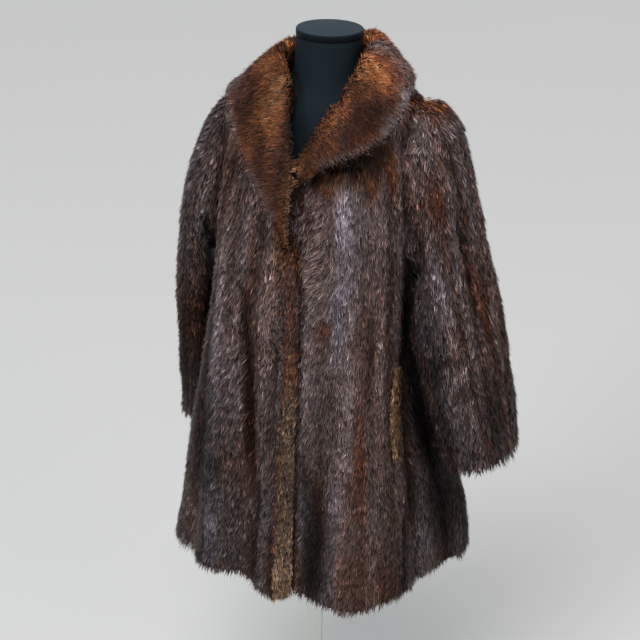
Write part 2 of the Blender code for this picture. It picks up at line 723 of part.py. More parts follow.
def torso():
    """The dress form's body, a smooth closed shape with a neck and no limbs."""
    made = bmesh.new()
    low, high = FORM[0][0], FORM[-1][0]
    rings = []
    for i in range(FORM_RINGS + 1):
        share = i / FORM_RINGS
        height = low + (high - low) * (share - 0.06 * math.sin(2 * math.pi * share))
        ring = []
        for j in range(FORM_STEPS):
            turn = 360 * j / FORM_STEPS
            deep = form_at("front" if math.cos(math.radians(turn)) > 0 else "back", height)
            radius = oval_radius(turn, form_at("side", height), deep, form_at("squareness", height))
            x, y = radius * math.sin(math.radians(turn)), -radius * math.cos(math.radians(turn))
            lean = LEAN * x * ease((height - 1.08) / 0.20) * (1 - ease((height - 1.34) / 0.05))
            ring.append(made.verts.new((x, y, height + lean)))
        rings.append(ring)
    for lower, upper in zip(rings, rings[1:]):
        for j in range(FORM_STEPS):
            k = (j + 1) % FORM_STEPS
            made.faces.new((lower[j], lower[k], upper[k], upper[j]))
    made.faces.new(rings[0][::-1])
    made.faces.new(rings[-1])
    bmesh.ops.triangulate(made, faces=made.faces)
    bmesh.ops.recalc_face_normals(made, faces=made.faces)
    return place("form_torso", made, "form_jersey")


def turned(name, profile, colour, steps=48):
    """A solid turned about the Z axis from (radius, height) pairs, top to bottom."""
    made = bmesh.new()
    points = [made.verts.new((radius, 0, height)) for radius, height in profile]
    for upper, lower in zip(points, points[1:]):
        made.edges.new((upper, lower))
    piece = place(name, made, colour)
    screw = piece.modifiers.new("turn", "SCREW")
    screw.steps = screw.render_steps = steps
    screw.use_merge_vertices = True
    screw.merge_threshold = 0.0001
    screw.use_smooth_shade = False
    return piece


def stand():
    """Neck cap, pole and round foot."""
    cap_low = FORM[-1][0] + SEAM
    cap_high = cap_low + CAP_THICK
    turned("form_cap", [
        (0, cap_high),
        (CAP_RADIUS - CAP_EDGE, cap_high),
        (CAP_RADIUS, cap_high - CAP_EDGE),
        (CAP_RADIUS, cap_low + CAP_EDGE / 2),
        (CAP_RADIUS - CAP_EDGE / 2, cap_low),
        (0, cap_low),
    ], "form_cap")
    ferrule_top = FOOT_THICK + FERRULE_HEIGHT
    turned("stand_foot", [
        (0, ferrule_top),
        (FERRULE_RADIUS - FOOT_EDGE, ferrule_top),
        (FERRULE_RADIUS, ferrule_top - FOOT_EDGE),
        (FERRULE_RADIUS, FOOT_THICK),
        (FOOT_RADIUS - FOOT_EDGE, FOOT_THICK),
        (FOOT_RADIUS, FOOT_THICK - FOOT_EDGE),
        (FOOT_RADIUS, 0),
        (0, 0),
    ], "steel")
    pole_low, pole_high = ferrule_top + SEAM, FORM[0][0] - SEAM
    turned("stand_pole", [
        (0, pole_high),
        (POLE_RADIUS, pole_high),
        (POLE_RADIUS, pole_low),
        (0, pole_low),
    ], "steel", 24)


for startup_object in list(bpy.data.objects):
    bpy.data.objects.remove(startup_object)
coat = bpy.data.collections.new("fur coat on dress form")
bpy.context.scene.collection.children.link(coat)
materials = make_materials()

wall("front_right", *front_panel(-1), "fur")
wall("front_left", *front_panel(1), "fur")
wall("back", *back_panel(), "fur")
wall("band_right", *edge_band(-1), "band_fur")
wall("band_left", *edge_band(1), "band_fur")
wall("pocket_welt", *pocket_welt(), "band_fur")
wall("sleeve_right", *sleeve(SLEEVE_RIGHT, -1), "fur", ring=True)
wall("sleeve_left", *sleeve(SLEEVE_LEFT, 1), "fur", ring=True)
wall("collar", *collar(), "collar_fur")
torso()
stand()
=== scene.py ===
import bpy
import bmesh
import math
import numpy as np
from mathutils import Matrix, Vector
from mathutils.bvhtree import BVHTree


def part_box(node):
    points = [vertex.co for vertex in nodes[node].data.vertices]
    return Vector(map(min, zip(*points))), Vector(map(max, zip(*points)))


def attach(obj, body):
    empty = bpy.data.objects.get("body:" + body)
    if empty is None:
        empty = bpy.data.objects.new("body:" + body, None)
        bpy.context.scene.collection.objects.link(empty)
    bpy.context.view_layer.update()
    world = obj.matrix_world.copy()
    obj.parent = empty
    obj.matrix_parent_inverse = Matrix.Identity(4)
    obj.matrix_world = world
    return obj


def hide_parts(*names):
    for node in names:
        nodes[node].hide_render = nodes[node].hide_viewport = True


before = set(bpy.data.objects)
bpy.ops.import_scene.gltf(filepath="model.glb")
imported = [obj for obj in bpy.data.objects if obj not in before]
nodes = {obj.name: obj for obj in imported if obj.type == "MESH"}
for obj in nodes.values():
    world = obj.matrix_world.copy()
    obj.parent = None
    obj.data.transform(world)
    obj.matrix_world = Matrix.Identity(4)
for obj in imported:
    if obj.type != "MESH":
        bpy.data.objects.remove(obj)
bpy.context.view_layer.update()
print("frame loaded:", len(nodes), "nodes")

cellPrimes = np.array([73856093, 19349663, 83492791])  # large primes
seedPrime, lastPrime = 2654435761, 1274126177


def unit(vectors):
    return vectors / np.maximum(np.linalg.norm(vectors, axis=-1, keepdims=True), 1e-9)


def dots(one, two):
    return np.sum(one * two, axis=-1, keepdims=True)


def ease(values):  # a soft step from 0 to 1
    values = np.clip(values, 0, 1)
    return values * values * (3 - 2 * values)


def bump(values):  # a bell of height 1 at 0
    return np.exp(-values * values)


def turnOff(turn, centre):  # degrees from the centre, -180 to 180
    return (turn - centre + 180) % 360 - 180


def noise(points, seed):  # smooth random values from -1 to 1, one cell a unit
    cell = np.floor(points).astype(np.int64)
    part = points - cell
    part = part * part * (3 - 2 * part)
    total = np.zeros(len(points))
    for corner in np.ndindex(2, 2, 2):
        spot = cell + np.array(corner)
        mixed = np.bitwise_xor.reduce(spot * cellPrimes, axis=1) ^ seed * seedPrime
        mixed = (mixed ^ (mixed >> 13)) * lastPrime
        value = ((mixed ^ (mixed >> 16)) & 0xffff) / 65535
        total += value * np.prod(np.where(corner, part, 1 - part), axis=1)
    return total * 2 - 1


def putInScene(name, data, *finishes):
    made = bpy.data.objects.new(name, data)
    bpy.context.scene.collection.objects.link(made)
    for finish in finishes:
        data.materials.append(looks[finish])
    return made


def sizeOf(node):  # the radius, foot and top of a round piece
    low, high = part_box(node)
    return high.x, low.z, high.z


def finished(name, made, *finishes):  # a piece in the scene from a bmesh, which is freed
    mesh = bpy.data.meshes.new(name)
    made.to_mesh(mesh)
    made.free()
    return putInScene(name, mesh, *finishes)


def operator(kind, swapped=False):  # a maths node
    def work(wire, other):
        pair = (other, wire) if swapped else (wire, other)
        return wire.finish.add("ShaderNodeMath", {"operation": kind}, dict(enumerate(pair)))
    return work


class Wire:  # a shader socket that can stand in a sum
    def __init__(self, finish, socket):
        self.finish, self.socket = finish, socket

    __add__, __radd__ = operator("ADD"), operator("ADD", True)
    __sub__, __rsub__ = operator("SUBTRACT"), operator("SUBTRACT", True)
    __mul__, __rmul__ = operator("MULTIPLY"), operator("MULTIPLY", True)
    __pow__ = operator("POWER")


class Finish:  # a material and the nodes that paint it
    def __init__(self, name, **fixed):
        self.material = bpy.data.materials.new(name)
        self.material.use_nodes = True
        self.tree = self.material.node_tree
        self.shader = self.tree.nodes["Principled BSDF"]
        for socket, value in fixed.items():
            self.shader.inputs[socket.replace("_", " ")].default_value = value

    def add(self, kind, settings=None, sockets=None, out=0):
        node = self.tree.nodes.new(kind)
        for key, value in (settings or {}).items():
            if key == "stops":
                ramp = node.color_ramp.elements
                while len(ramp) < len(value):
                    ramp.new(0.5)
                for stop, (place, colour) in zip(ramp, value):
                    stop.position, stop.color = place, (*colour, 1)
            else:
                setattr(node, key, value)
        for key, value in (sockets or {}).items():
            if isinstance(value, Wire):
                self.tree.links.new(value.socket, node.inputs[key])
            else:
                node.inputs[key].default_value = value
        return Wire(self, node.outputs[out])

    def number(self, name):  # a value that the mesh carries
        return self.add("ShaderNodeAttribute", {"attribute_name": name}, out=2)

    def place(self):  # the point's place in metres
        return self.add("ShaderNodeTexCoord", out=3)

    def ramp(self, share, stops):
        return self.add("ShaderNodeValToRGB", {"stops": stops}, {0: share})

    def blend(self, share, one, two, way="MIX"):
        settings = {"data_type": "RGBA", "blend_type": way}
        return self.add("ShaderNodeMix", settings, {0: share, 6: one, 7: two}, out=2)

    def grain(self, scale, detail, stretch=(1, 1, 1)):
        place = self.add("ShaderNodeMapping", None, {0: self.place(), 3: stretch})
        sockets = {"Vector": place, "Scale": scale, "Detail": detail, "Roughness": 0.55}
        return self.add("ShaderNodeTexNoise", None, sockets)

    def feed(self, socket, wire):
        self.tree.links.new(wire.socket, self.shader.inputs[socket])

    def dull(self, share, low, high):  # roughness from low to high
        self.feed("Roughness", low + share * (high - low))

    def relief(self, height, strength, distance):
        sockets = {"Strength": strength, "Distance": distance, "Height": height}
        self.feed("Normal", self.add("ShaderNodeBump", None, sockets))


# the finishes: stops are a share and a colour

furLook = {
    "tips": [(0, (0.265, 0.225, 0.262)), (0.3, (0.235, 0.168, 0.155)), (0.48, (0.19, 0.092, 0.068)),
             (0.6, (0.165, 0.054, 0.034)), (0.76, (0.34, 0.122, 0.04)), (1, (0.32, 0.195, 0.115))],
    "roots": [(0, (0.018, 0.011, 0.013)), (0.3, (0.021, 0.01, 0.009)), (0.48, (0.02, 0.007, 0.005)),
              (0.6, (0.018, 0.005, 0.003)), (0.76, (0.045, 0.011, 0.003)), (1, (0.05, 0.028, 0.014))],
    "late": 2.4,  # the higher, the nearer the tip its colour starts
    "speck": 420, "speckWarm": 0.10, "rough": (0.28, 0.46),
}


def furFinish(name, shine):  # guard hairs, coloured by warmth, dark at the root
    finish = Finish(name, Roughness=0.4, Specular_IOR_Level=shine)
    along, tone, warm = finish.number("along"), finish.number("tone"), finish.number("warm")
    speck = finish.grain(furLook["speck"], 1.0)
    warmth = warm + (speck - 0.5) * furLook["speckWarm"]
    roots, tips = finish.ramp(warmth, furLook["roots"]), finish.ramp(warmth, furLook["tips"])
    colour = finish.blend(along ** furLook["late"], roots, tips)
    # the tone is the pelts' own tone together with painted light and shade: glints, fold shading, the
    # downward fade and shadow patches
    shade = finish.add("ShaderNodeCombineColor", None, {0: tone, 1: tone, 2: tone})
    finish.feed("Base Color", finish.blend(1.0, colour, shade, "MULTIPLY"))
    finish.dull(speck, *furLook["rough"])
    return finish.material


peltLook = {
    "tuft": 160, "stretch": (1, 1, 0.35), "deep": 0.002,
    "colours": [(0.3, (0.01, 0.006, 0.005)), (0.55, (0.022, 0.012, 0.01)), (0.8, (0.045, 0.024, 0.017))],
}


def peltFinish():  # the woolly underfur that shows between the hairs
    finish = Finish("underfur", Roughness=0.9, Specular_IOR_Level=0.08)
    tuft = finish.grain(peltLook["tuft"], 3.0, peltLook["stretch"])
    finish.feed("Base Color", finish.ramp(tuft, peltLook["colours"]))
    finish.relief(tuft, 0.6, peltLook["deep"])
    return finish.material


insideLook = {
    "cloud": 14, "thread": 900, "stretch": (1, 1, 0.2), "deep": 0.0004,
    "colours": [(0.3, (0.022, 0.015, 0.014)), (0.7, (0.036, 0.024, 0.021))],
    "rough": (0.40, 0.60),
}


def insideFinish():  # the plain dark inner side, a soft satin
    finish = Finish("inner_side", Roughness=0.5)
    cloud = finish.grain(insideLook["cloud"], 2.0)
    thread = finish.grain(insideLook["thread"], 1.0, insideLook["stretch"])
    finish.feed("Base Color", finish.ramp(cloud, insideLook["colours"]))
    finish.dull(thread, *insideLook["rough"])
    finish.relief(thread, 0.15, insideLook["deep"])
    return finish.material


jerseyLook = {
    "rib": 260.0, "wander": 1.5, "wanderScale": 40.0, "cloud": 9, "deep": 0.0004,
    "colours": [(0.3, (0.0068, 0.0112, 0.0148)), (0.7, (0.0098, 0.0156, 0.0200))],
    "rough": (0.70, 0.85),
}


def jerseyFinish():  # fine black stretch cloth on the form
    finish = Finish("form_jersey", Roughness=0.8, Specular_IOR_Level=0.06)
    sockets = {"Vector": finish.place(), "Scale": jerseyLook["rib"], "Distortion": jerseyLook["wander"],
               "Detail": 1.0, "Detail Scale": jerseyLook["wanderScale"]}
    rib = finish.add("ShaderNodeTexWave", {"wave_type": "BANDS", "bands_direction": "Z"}, sockets)
    cloud = finish.grain(jerseyLook["cloud"], 2.0)
    finish.feed("Base Color", finish.ramp(cloud, jerseyLook["colours"]))
    finish.dull(cloud, *jerseyLook["rough"])
    finish.relief(rib, 0.12, jerseyLook["deep"])
    return finish.material


capLook = {
    "grit": 700, "cloud": 24, "deep": 0.0003, "rough": (0.42, 0.56),
    "top": [(0.35, (0.026, 0.040, 0.052)), (0.65, (0.030, 0.046, 0.060))],
    "side": [(0.40, (0.0012, 0.0026, 0.0042)), (0.85, (0.0060, 0.0100, 0.0145))],  # painted shade: the side darker than the top, darker towards its foot, by height on the cap
    "edge": 0.0018, "sharp": 1200,  # where the side's painted shade starts, and how suddenly
}


def capFinish():  # matte moulded plastic, with painted shade on its side, darkest at its foot
    finish = Finish("form_cap", Roughness=0.5, Specular_IOR_Level=0.07)
    grit = finish.grain(capLook["grit"], 2.0)
    cloud = finish.grain(capLook["cloud"], 2.0)
    top = finish.ramp(cloud, capLook["top"])
    low, high = sizeOf("form_cap")[1:]
    height = finish.add("ShaderNodeSeparateXYZ", None, {0: finish.place()}, out=2)
    side = finish.ramp((height - low) * (1 / (high - low)), capLook["side"])
    rise = (height - (high - capLook["edge"])) * capLook["sharp"]
    finish.feed("Base Color", finish.blend(rise, side, top))
    finish.dull(grit, *capLook["rough"])
    finish.relief(grit, 0.2, capLook["deep"])
    return finish.material


metals = {
    "pole_chrome": {"colour": (0.63, 0.64, 0.62), "rough": (0.06, 0.14), "stretch": (1, 1, 0.05)},
    "base_steel": {"colour": (0.56, 0.57, 0.59), "rough": (0.28, 0.42), "stretch": (1, 1, 1)},
}


def steelFinish(name):
    metal = metals[name]
    finish = Finish(name, Metallic=1.0)
    scratch = finish.grain(240, 2.0, metal["stretch"])
    dull = tuple(0.92 * part for part in metal["colour"])
    finish.feed("Base Color", finish.ramp(scratch, [(0.2, dull), (0.8, metal["colour"])]))
    finish.dull(scratch, *metal["rough"])
    return finish.material


looks = {
    "fur": furFinish("guard_hair", 0.12),
    "plush": furFinish("collar_hair", 0.10),
    "pelt": peltFinish(),
    "inside": insideFinish(),
    "jersey": jerseyFinish(),
    "cap": capFinish(),
    "chrome": steelFinish("pole_chrome"),
    "steel": steelFinish("base_steel"),
}
print("finishes made")


# charts: where a point lies on its piece

sleeveAxes = {  # the middle of the sleeve's head and of its cuff
    "sleeve_left": ((0.150, -0.014, 1.210), (0.278, -0.038, 0.770)),
    "sleeve_right": ((-0.157, 0.022, 1.210), (-0.200, 0.108, 0.730)),
}
neckSeam = np.array([  # where the collar is sewn on, from the right lapel's foot
    (-0.025, -0.159, 1.162), (-0.027, -0.147, 1.229), (-0.028, -0.138, 1.263), (-0.041, -0.105, 1.324),
    (-0.048, -0.056, 1.367), (-0.074, 0.015, 1.367), (-0.055, 0.050, 1.370), (0.000, 0.067, 1.371),
    (0.055, 0.048, 1.372), (0.072, 0.020, 1.374), (0.069, -0.027, 1.374), (0.040, -0.060, 1.370),
    (0.022, -0.095, 1.344), (0.007, -0.110, 1.324), (-0.014, -0.131, 1.286), (-0.020, -0.136, 1.271),
])
seamBlend = 0.012  # evens out the seam's direction, in metres


def sleeveFrame(node):  # the sleeve's top, its way down, its front and its outer side
    top, low = [np.array(end) for end in sleeveAxes[node]]
    down = unit(low - top)
    front = np.array([0.0, -1.0, 0.0])
    front = unit(front - down * np.dot(front, down))
    return top, down, front, np.cross(front, down)


def seamStretches(points):  # each stretch's start and way, and the points' shares of it
    for start, end in zip(neckSeam, neckSeam[1:]):
        way = end - start
        yield start, way, np.clip((points - start) @ way / (way @ way), 0, 1)[:, None]


def fromSeam(points):  # each point's offset from the neck seam
    best, nearest = np.full(len(points), 9.0), np.zeros_like(points)
    for start, way, share in seamStretches(points):
        foot = start + way * share
        distance = np.linalg.norm(points - foot, axis=1)
        closer = distance < best
        best[closer], nearest[closer] = distance[closer], foot[closer]
    return points - nearest


def alongSeam(points):  # which way the neck seam runs near each point
    total = np.zeros_like(points)
    for start, way, share in seamStretches(points):
        distance = np.linalg.norm(points - start - way * share, axis=1, keepdims=True)
        total += way * np.exp(-distance / seamBlend)
    return unit(total)


def seamPart(points):  # which stretch of the neck seam lies nearest
    middles = (neckSeam[1:] + neckSeam[:-1]) / 2
    return np.argmin(np.linalg.norm(points[:, None] - middles[None], axis=2), axis=1)


def outwards(points):  # level, away from the pole
    return unit(points * np.array([1, 1, 0]))


def chart(node, points):  # degrees round the piece; metres down a sleeve, off the neck seam or up
    if node in sleeveAxes:
        top, down, front, side = sleeveFrame(node)
        off = points - top
        return np.degrees(np.arctan2(off @ side, off @ front)), off @ down
    turn = np.degrees(np.arctan2(points[:, 0], -points[:, 1]))
    if node == "collar":
        return turn, np.linalg.norm(fromSeam(points), axis=1)
    return turn, points[:, 2]


def flowAt(node, points):  # which way the hair lies
    if node in sleeveAxes:
        return np.tile(sleeveFrame(node)[1], (len(points), 1))
    if node == "collar":
        return unit(fromSeam(points)) + np.array([0, 0, -0.25])
    return np.tile(np.array([0.0, 0.0, -1.0]), (len(points), 1))


# the fur pieces: each has its own values over the common ones, in metres and degrees
# depth: of the roots; back: the share of a hair behind its tip; fade: how much darker downwards, painted
# shade for light that falls off lower down
# vary, spread, wild, lift: how much tones differ, and hairs lie apart, stray and rise
# grey: the share of cool hairs; reach: past an edge; lean: of the lie; strips: pelts in a full turn
# fold: the strength of creases; outer: how outward a face with hair looks
# creases: turn at the top, turn at the foot, top, foot, half width, how far it stands out
# patches: turn, place, half width, half height, how much warmer, how much lighter; they hold the pelts' own
# tone and also painted light and shade
# leans: the same four, degrees; dents: turn, height, half width, half height, how far it stands out
# hems: turn, half width, how much further past the edge

common = {
    "length": 0.017, "width": 0.0013, "depth": 0.0055, "tuft": 6, "spread": 0.0028, "wild": 0.06,
    "back": 0.92, "vary": 0.34, "fold": 1.5, "warm": 0.31, "tone": 0.64, "fade": 0.8, "lean": -8,
    "lift": 0.0014, "strips": 22, "grey": 0.0, "reach": 0.0038, "lies": ["form_torso"],
    "outer": 0.25, "slot": "body_fur", "creases": [], "patches": [], "leans": [], "hems": [], "dents": [],
}
furs = {}
furs["front_right"] = {
    "flat": (0.36, 0.87), "area": 0.215, "seed": 1, "hairs": 74000, "tone": 0.62, "vary": 0.42,
    "creases": [
        (-38, -31, 1.08, 0.74, 2.6, -0.006), (-55, -46, 1.12, 0.6, 7, 0.003),
        (-64, -49, 0.86, 0.6, 4, -0.004), (-24, -27, 0.74, 0.55, 3, -0.004),
        (-16, -18, 1.05, 0.8, 3, -0.003),
    ],
    # the pelts' own tone, with painted shade at the side beside the sleeve (turn -48 to -72) and under the
    # lapel's edge (about 1.25 high)
    "patches": [
        (-51, 0.95, 6, 0.12, -0.22, 0.2), (-64, 0.92, 6, 0.12, 0.05, -0.7), (-62, 1.1, 7, 0.06, -0.12, 0.1),
        (-33, 0.9, 4, 0.16, 0.15, -0.3), (-31, 0.78, 4, 0.06, 0.1, -0.3),
        (-21, 1.11, 4.5, 0.05, 0.12, 0.25), (-18, 1.04, 5, 0.08, 0, 0.35), (-49, 0.725, 4, 0.06, 0, -0.45),
        (-66, 0.8, 6, 0.08, 0.1, -0.5), (-46, 0.62, 7, 0.06, -0.22, 0.1), (-42, 0.76, 5, 0.04, 0.15, 0.15),
        (-24, 0.7, 3.5, 0.03, 0, -0.4), (-27, 0.59, 4, 0.04, 0.05, -0.4), (-19, 0.7, 4, 0.05, -0.2, 0.1),
        (-46, 1.24, 6, 0.06, 0.1, -0.25), (-62, 0.74, 6, 0.06, 0.05, -0.45),
        (-25, 1.17, 5, 0.03, 0.05, -0.45), (-56, 0.8, 4, 0.07, 0.05, -0.5), (-64, 0.72, 6, 0.05, 0, -0.45),
        (-53, 0.85, 3.5, 0.06, 0, -0.45), (-57, 0.77, 4, 0.06, 0, -0.45), (-32, 0.62, 5, 0.05, 0, -0.2),
        (-55, 0.82, 4.5, 0.05, 0, -0.82), (-48, 0.745, 4, 0.05, 0, -0.65), (-50, 0.58, 4, 0.035, 0, -0.75),
        (-67, 0.605, 5, 0.03, 0, 1.1), (-72, 1.263, 8, 0.02, 0, -0.55), (-55, 1.25, 6, 0.02, 0, -0.6),
    ],
    "leans": [(-18, 0.99, 6, 0.03, 50)],
    "hems": [(-67, 6, 0.015)],
}
furs["front_left"] = {
    "flat": (0.36, 0.87), "area": 0.215, "seed": 2, "hairs": 78000, "tone": 0.84,
    "creases": [
        (7, 9, 0.76, 0.55, 4, -0.005), (27, 22, 0.95, 0.55, 5, 0.003), (52, 50, 0.7, 0.54, 3, -0.006),
        (60, 58, 0.95, 0.66, 3.5, -0.005), (66, 66, 0.75, 0.54, 5, 0.003), (75, 77, 0.8, 0.54, 4, -0.006),
        (38, 36, 1.02, 0.72, 3, -0.003), (72, 72, 1.38, 1.31, 14, 0.003), (20, 20, 1.31, 1.264, 26, -0.005),
    ],
    # the pelts' own tone, with painted shadow under the collar (rows 1.25 to 1.29 high), beside the left
    # sleeve (turn 58 to 80) and by the front edge low down (turn 1.5 to 8)
    "patches": [
        (8, 0.66, 6, 0.07, 0, -0.45), (1, 0.67, 4, 0.04, -0.25, 0), (27.5, 0.76, 4, 0.1, 0.28, 0.12),
        (22, 0.6, 4, 0.05, 0.2, 0), (38.5, 0.575, 4, 0.035, 0.12, -0.1), (51, 0.62, 2.5, 0.05, 0, -0.5),
        (58.6, 0.635, 3, 0.05, -0.1, 0), (59, 0.727, 3, 0.07, 0, -0.5), (71, 0.82, 8, 0.14, 0, -0.85),
        (63, 1.01, 6, 0.14, 0, -0.9), (58, 0.93, 4, 0.09, 0, -0.6), (72, 0.68, 9, 0.1, 0.05, -0.85),
        (68, 0.92, 7, 0.14, 0, -0.6), (80, 0.7, 8, 0.1, 0.05, -0.8), (67, 0.63, 4, 0.03, -0.15, 0.1),
        (86, 0.64, 6, 0.08, 0.2, -0.6), (20, 1.205, 9, 0.04, -0.25, 0.35), (20, 1.1, 8, 0.08, -0.18, 0.05),
        (17.5, 1.02, 5, 0.06, -0.28, -0.05), (10.7, 1.016, 4, 0.02, 0.3, 0.1),
        (0, 1.258, 6, 0.022, 0.3, -0.9), (12, 1.264, 7, 0.025, 0.32, -0.9),
        (24, 1.272, 7, 0.028, 0.34, -0.92), (36, 1.278, 7, 0.032, 0.36, -0.92),
        (46, 1.288, 5, 0.03, 0.36, -0.8), (35, 1.25, 4, 0.03, 0.4, -0.25), (50, 1.26, 4, 0.05, 0.4, 0.1),
        (9, 1.245, 5, 0.012, 0.4, -0.15), (44, 1.05, 6, 0.12, 0.1, -0.1), (-2, 1.185, 4, 0.035, 0.1, -0.55),
        (75, 1.35, 15, 0.02, 0.45, 0.1), (1.5, 0.76, 3, 0.06, 0, -0.7), (33, 0.96, 4, 0.2, 0, 0.35),
        (12, 1.05, 8, 0.05, 0, 0.2), (3.5, 0.66, 3.5, 0.06, 0, -0.78), (5.5, 0.58, 3.5, 0.05, 0, -0.72),
        (16, 0.88, 4, 0.08, 0, -0.42), (40, 0.88, 5, 0.1, 0, 0.22), (60, 1.18, 4, 0.08, 0, -0.6),
        (52, 0.76, 4, 0.05, 0.05, -0.35), (39, 1.267, 4, 0.015, 0, -0.35), (2, 1.245, 6, 0.01, 0, -0.8),
        (4, 0.59, 4, 0.06, 0, -0.7),
    ],
    "leans": [(3, 1.1, 7, 0.08, -40), (10, 0.98, 6, 0.04, -20)],
}
furs["back"] = {
    "flat": (0.78, 0.88), "area": 0.43, "seed": 3, "hairs": 70000, "width": 0.0015,
    "creases": [
        (86, 86, 0.78, 0.5, 8, 0.006), (98, 101, 0.9, 0.56, 4, -0.005), (110, 118, 1, 0.6, 5, -0.006),
        (128, 131, 1.1, 0.58, 6, 0.003), (150, 152, 0.95, 0.56, 4, -0.005),
        (-172, -170, 1.05, 0.56, 5, -0.006), (-150, -146, 1.15, 0.6, 6, 0.003),
        (-128, -125, 0.9, 0.57, 4, -0.005), (-105, -100, 1, 0.6, 5, -0.005),
        (178, 176, 1.25, 0.9, 8, 0.002), (98, 98, 1.38, 1.31, 14, 0.002),
    ],
    # the pelts' own tone, with painted shadow under the collar (rows about 1.3 high) and painted shade at
    # the side (turn 84 to 91)
    "patches": [
        (84, 0.66, 7, 0.12, 0.15, -0.8), (91, 0.63, 5, 0.06, 0, -0.7), (95, 1.36, 15, 0.02, 0.4, 0),
        (120, 1.1, 8, 0.12, -0.2, 0.2), (155, 0.8, 7, 0.12, 0.25, 0), (-165, 1.15, 8, 0.1, -0.2, 0.2),
        (-135, 0.85, 7, 0.12, 0.25, -0.1), (180, 0.7, 6, 0.08, 0.1, -0.3), (-110, 0.7, 6, 0.1, 0.15, -0.3),
        (180, 1.3, 30, 0.02, 0.3, -0.65), (135, 1.31, 20, 0.02, 0.3, -0.6),
        (-135, 1.31, 20, 0.02, 0.3, -0.6),
    ],
}
furs["sleeve_left"] = {
    "flat": (0.47, 0.62), "area": 0.235, "seed": 4, "hairs": 72000, "tone": 0.6, "vary": 0.42, "strips": 14,
    "creases": [
        (82, 90, 0.02, 0.3, 22, 0.005), (41, 44, 0.03, 0.19, 3.5, -0.004),
        (-10, -10, 0.245, 0.268, 14, -0.004), (12, 12, 0.298, 0.318, 10, -0.003),
        (100, 112, 0.02, 0.3, 8, -0.004), (150, 145, 0.1, 0.38, 9, -0.003),
        (78, 80, -0.15, -0.07, 40, 0.003), (-80, -85, 0.05, 0.24, 30, 0.004),
    ],
    # the pelts' own tone, with painted shade on the inner side next to the body (turn -14 to -52)
    "patches": [
        (72, -0.13, 30, 0.03, 0.5, 0.2), (22, -0.08, 10, 0.05, -0.18, 0.2), (36, -0.048, 6, 0.04, 0.2, 0),
        (22, 0.004, 8, 0.03, 0.25, 0), (41, 0.08, 4, 0.03, 0.1, -0.4), (54, 0.19, 7, 0.09, 0.42, 0.15),
        (86, 0.238, 22, 0.18, 0.28, -0.15), (8, 0.14, 12, 0.06, -0.2, 0.3),
        (11, 0.226, 12, 0.05, 0.12, 0.15), (-10, 0.255, 12, 0.02, 0.05, -0.3), (0, 0.28, 12, 0.06, 0, 0.4),
        (12, 0.308, 9, 0.018, 0.05, -0.35), (0, 0.37, 16, 0.05, -0.02, 0.05),
        (42, 0.385, 22, 0.07, 0.08, -0.65), (-52, 0.2, 20, 0.25, 0, -0.88), (150, 0.2, 25, 0.12, 0.2, 0),
        (55, 0.07, 8, 0.04, 0.05, -0.35), (-20, 0.4, 14, 0.05, 0, -0.4), (15, 0.42, 22, 0.04, 0, -0.25),
        (10, 0.03, 22, 0.05, 0, -0.15), (-40, 0, 14, 0.1, 0, -0.6), (-16, 0.2, 8, 0.045, 0, -0.8),
        (-17, 0.28, 8, 0.035, 0, -0.86), (-19, 0.35, 9, 0.04, 0, -0.62), (-14, 0.02, 9, 0.035, 0, -0.72),
    ],
    "hems": [(55, 30, 0.009)],
}
furs["sleeve_right"] = {
    "flat": (0.46, 0.66), "area": 0.215, "seed": 5, "hairs": 54000, "tone": 0.5, "vary": 0.4, "strips": 14,
    "creases": [
        (-10, -12, 0.05, 0.25, 5, -0.004), (-30, -30, 0.25, 0.28, 18, -0.003),
        (-95, -105, 0.05, 0.34, 8, -0.004), (-150, -140, 0.12, 0.36, 9, -0.003),
    ],
    # the pelts' own tone, with a painted highlight (turn -18) and painted shade in the trough beside the
    # body and lower down
    "patches": [
        (-18, 0.073, 8, 0.04, -0.1, 0.2), (-30, 0.275, 18, 0.07, 0.28, -0.2),
        (-34, -0.01, 12, 0.05, -0.15, 0.05), (-10, 0.11, 5, 0.08, 0, -0.4), (-120, 0.2, 25, 0.12, 0.2, 0),
        (-40, 0.34, 16, 0.1, 0.08, -0.6), (-30, 0.42, 24, 0.06, 0, -0.35),
        (-8, -0.09, 20, 0.02, 0.05, -0.6),
    ],
}
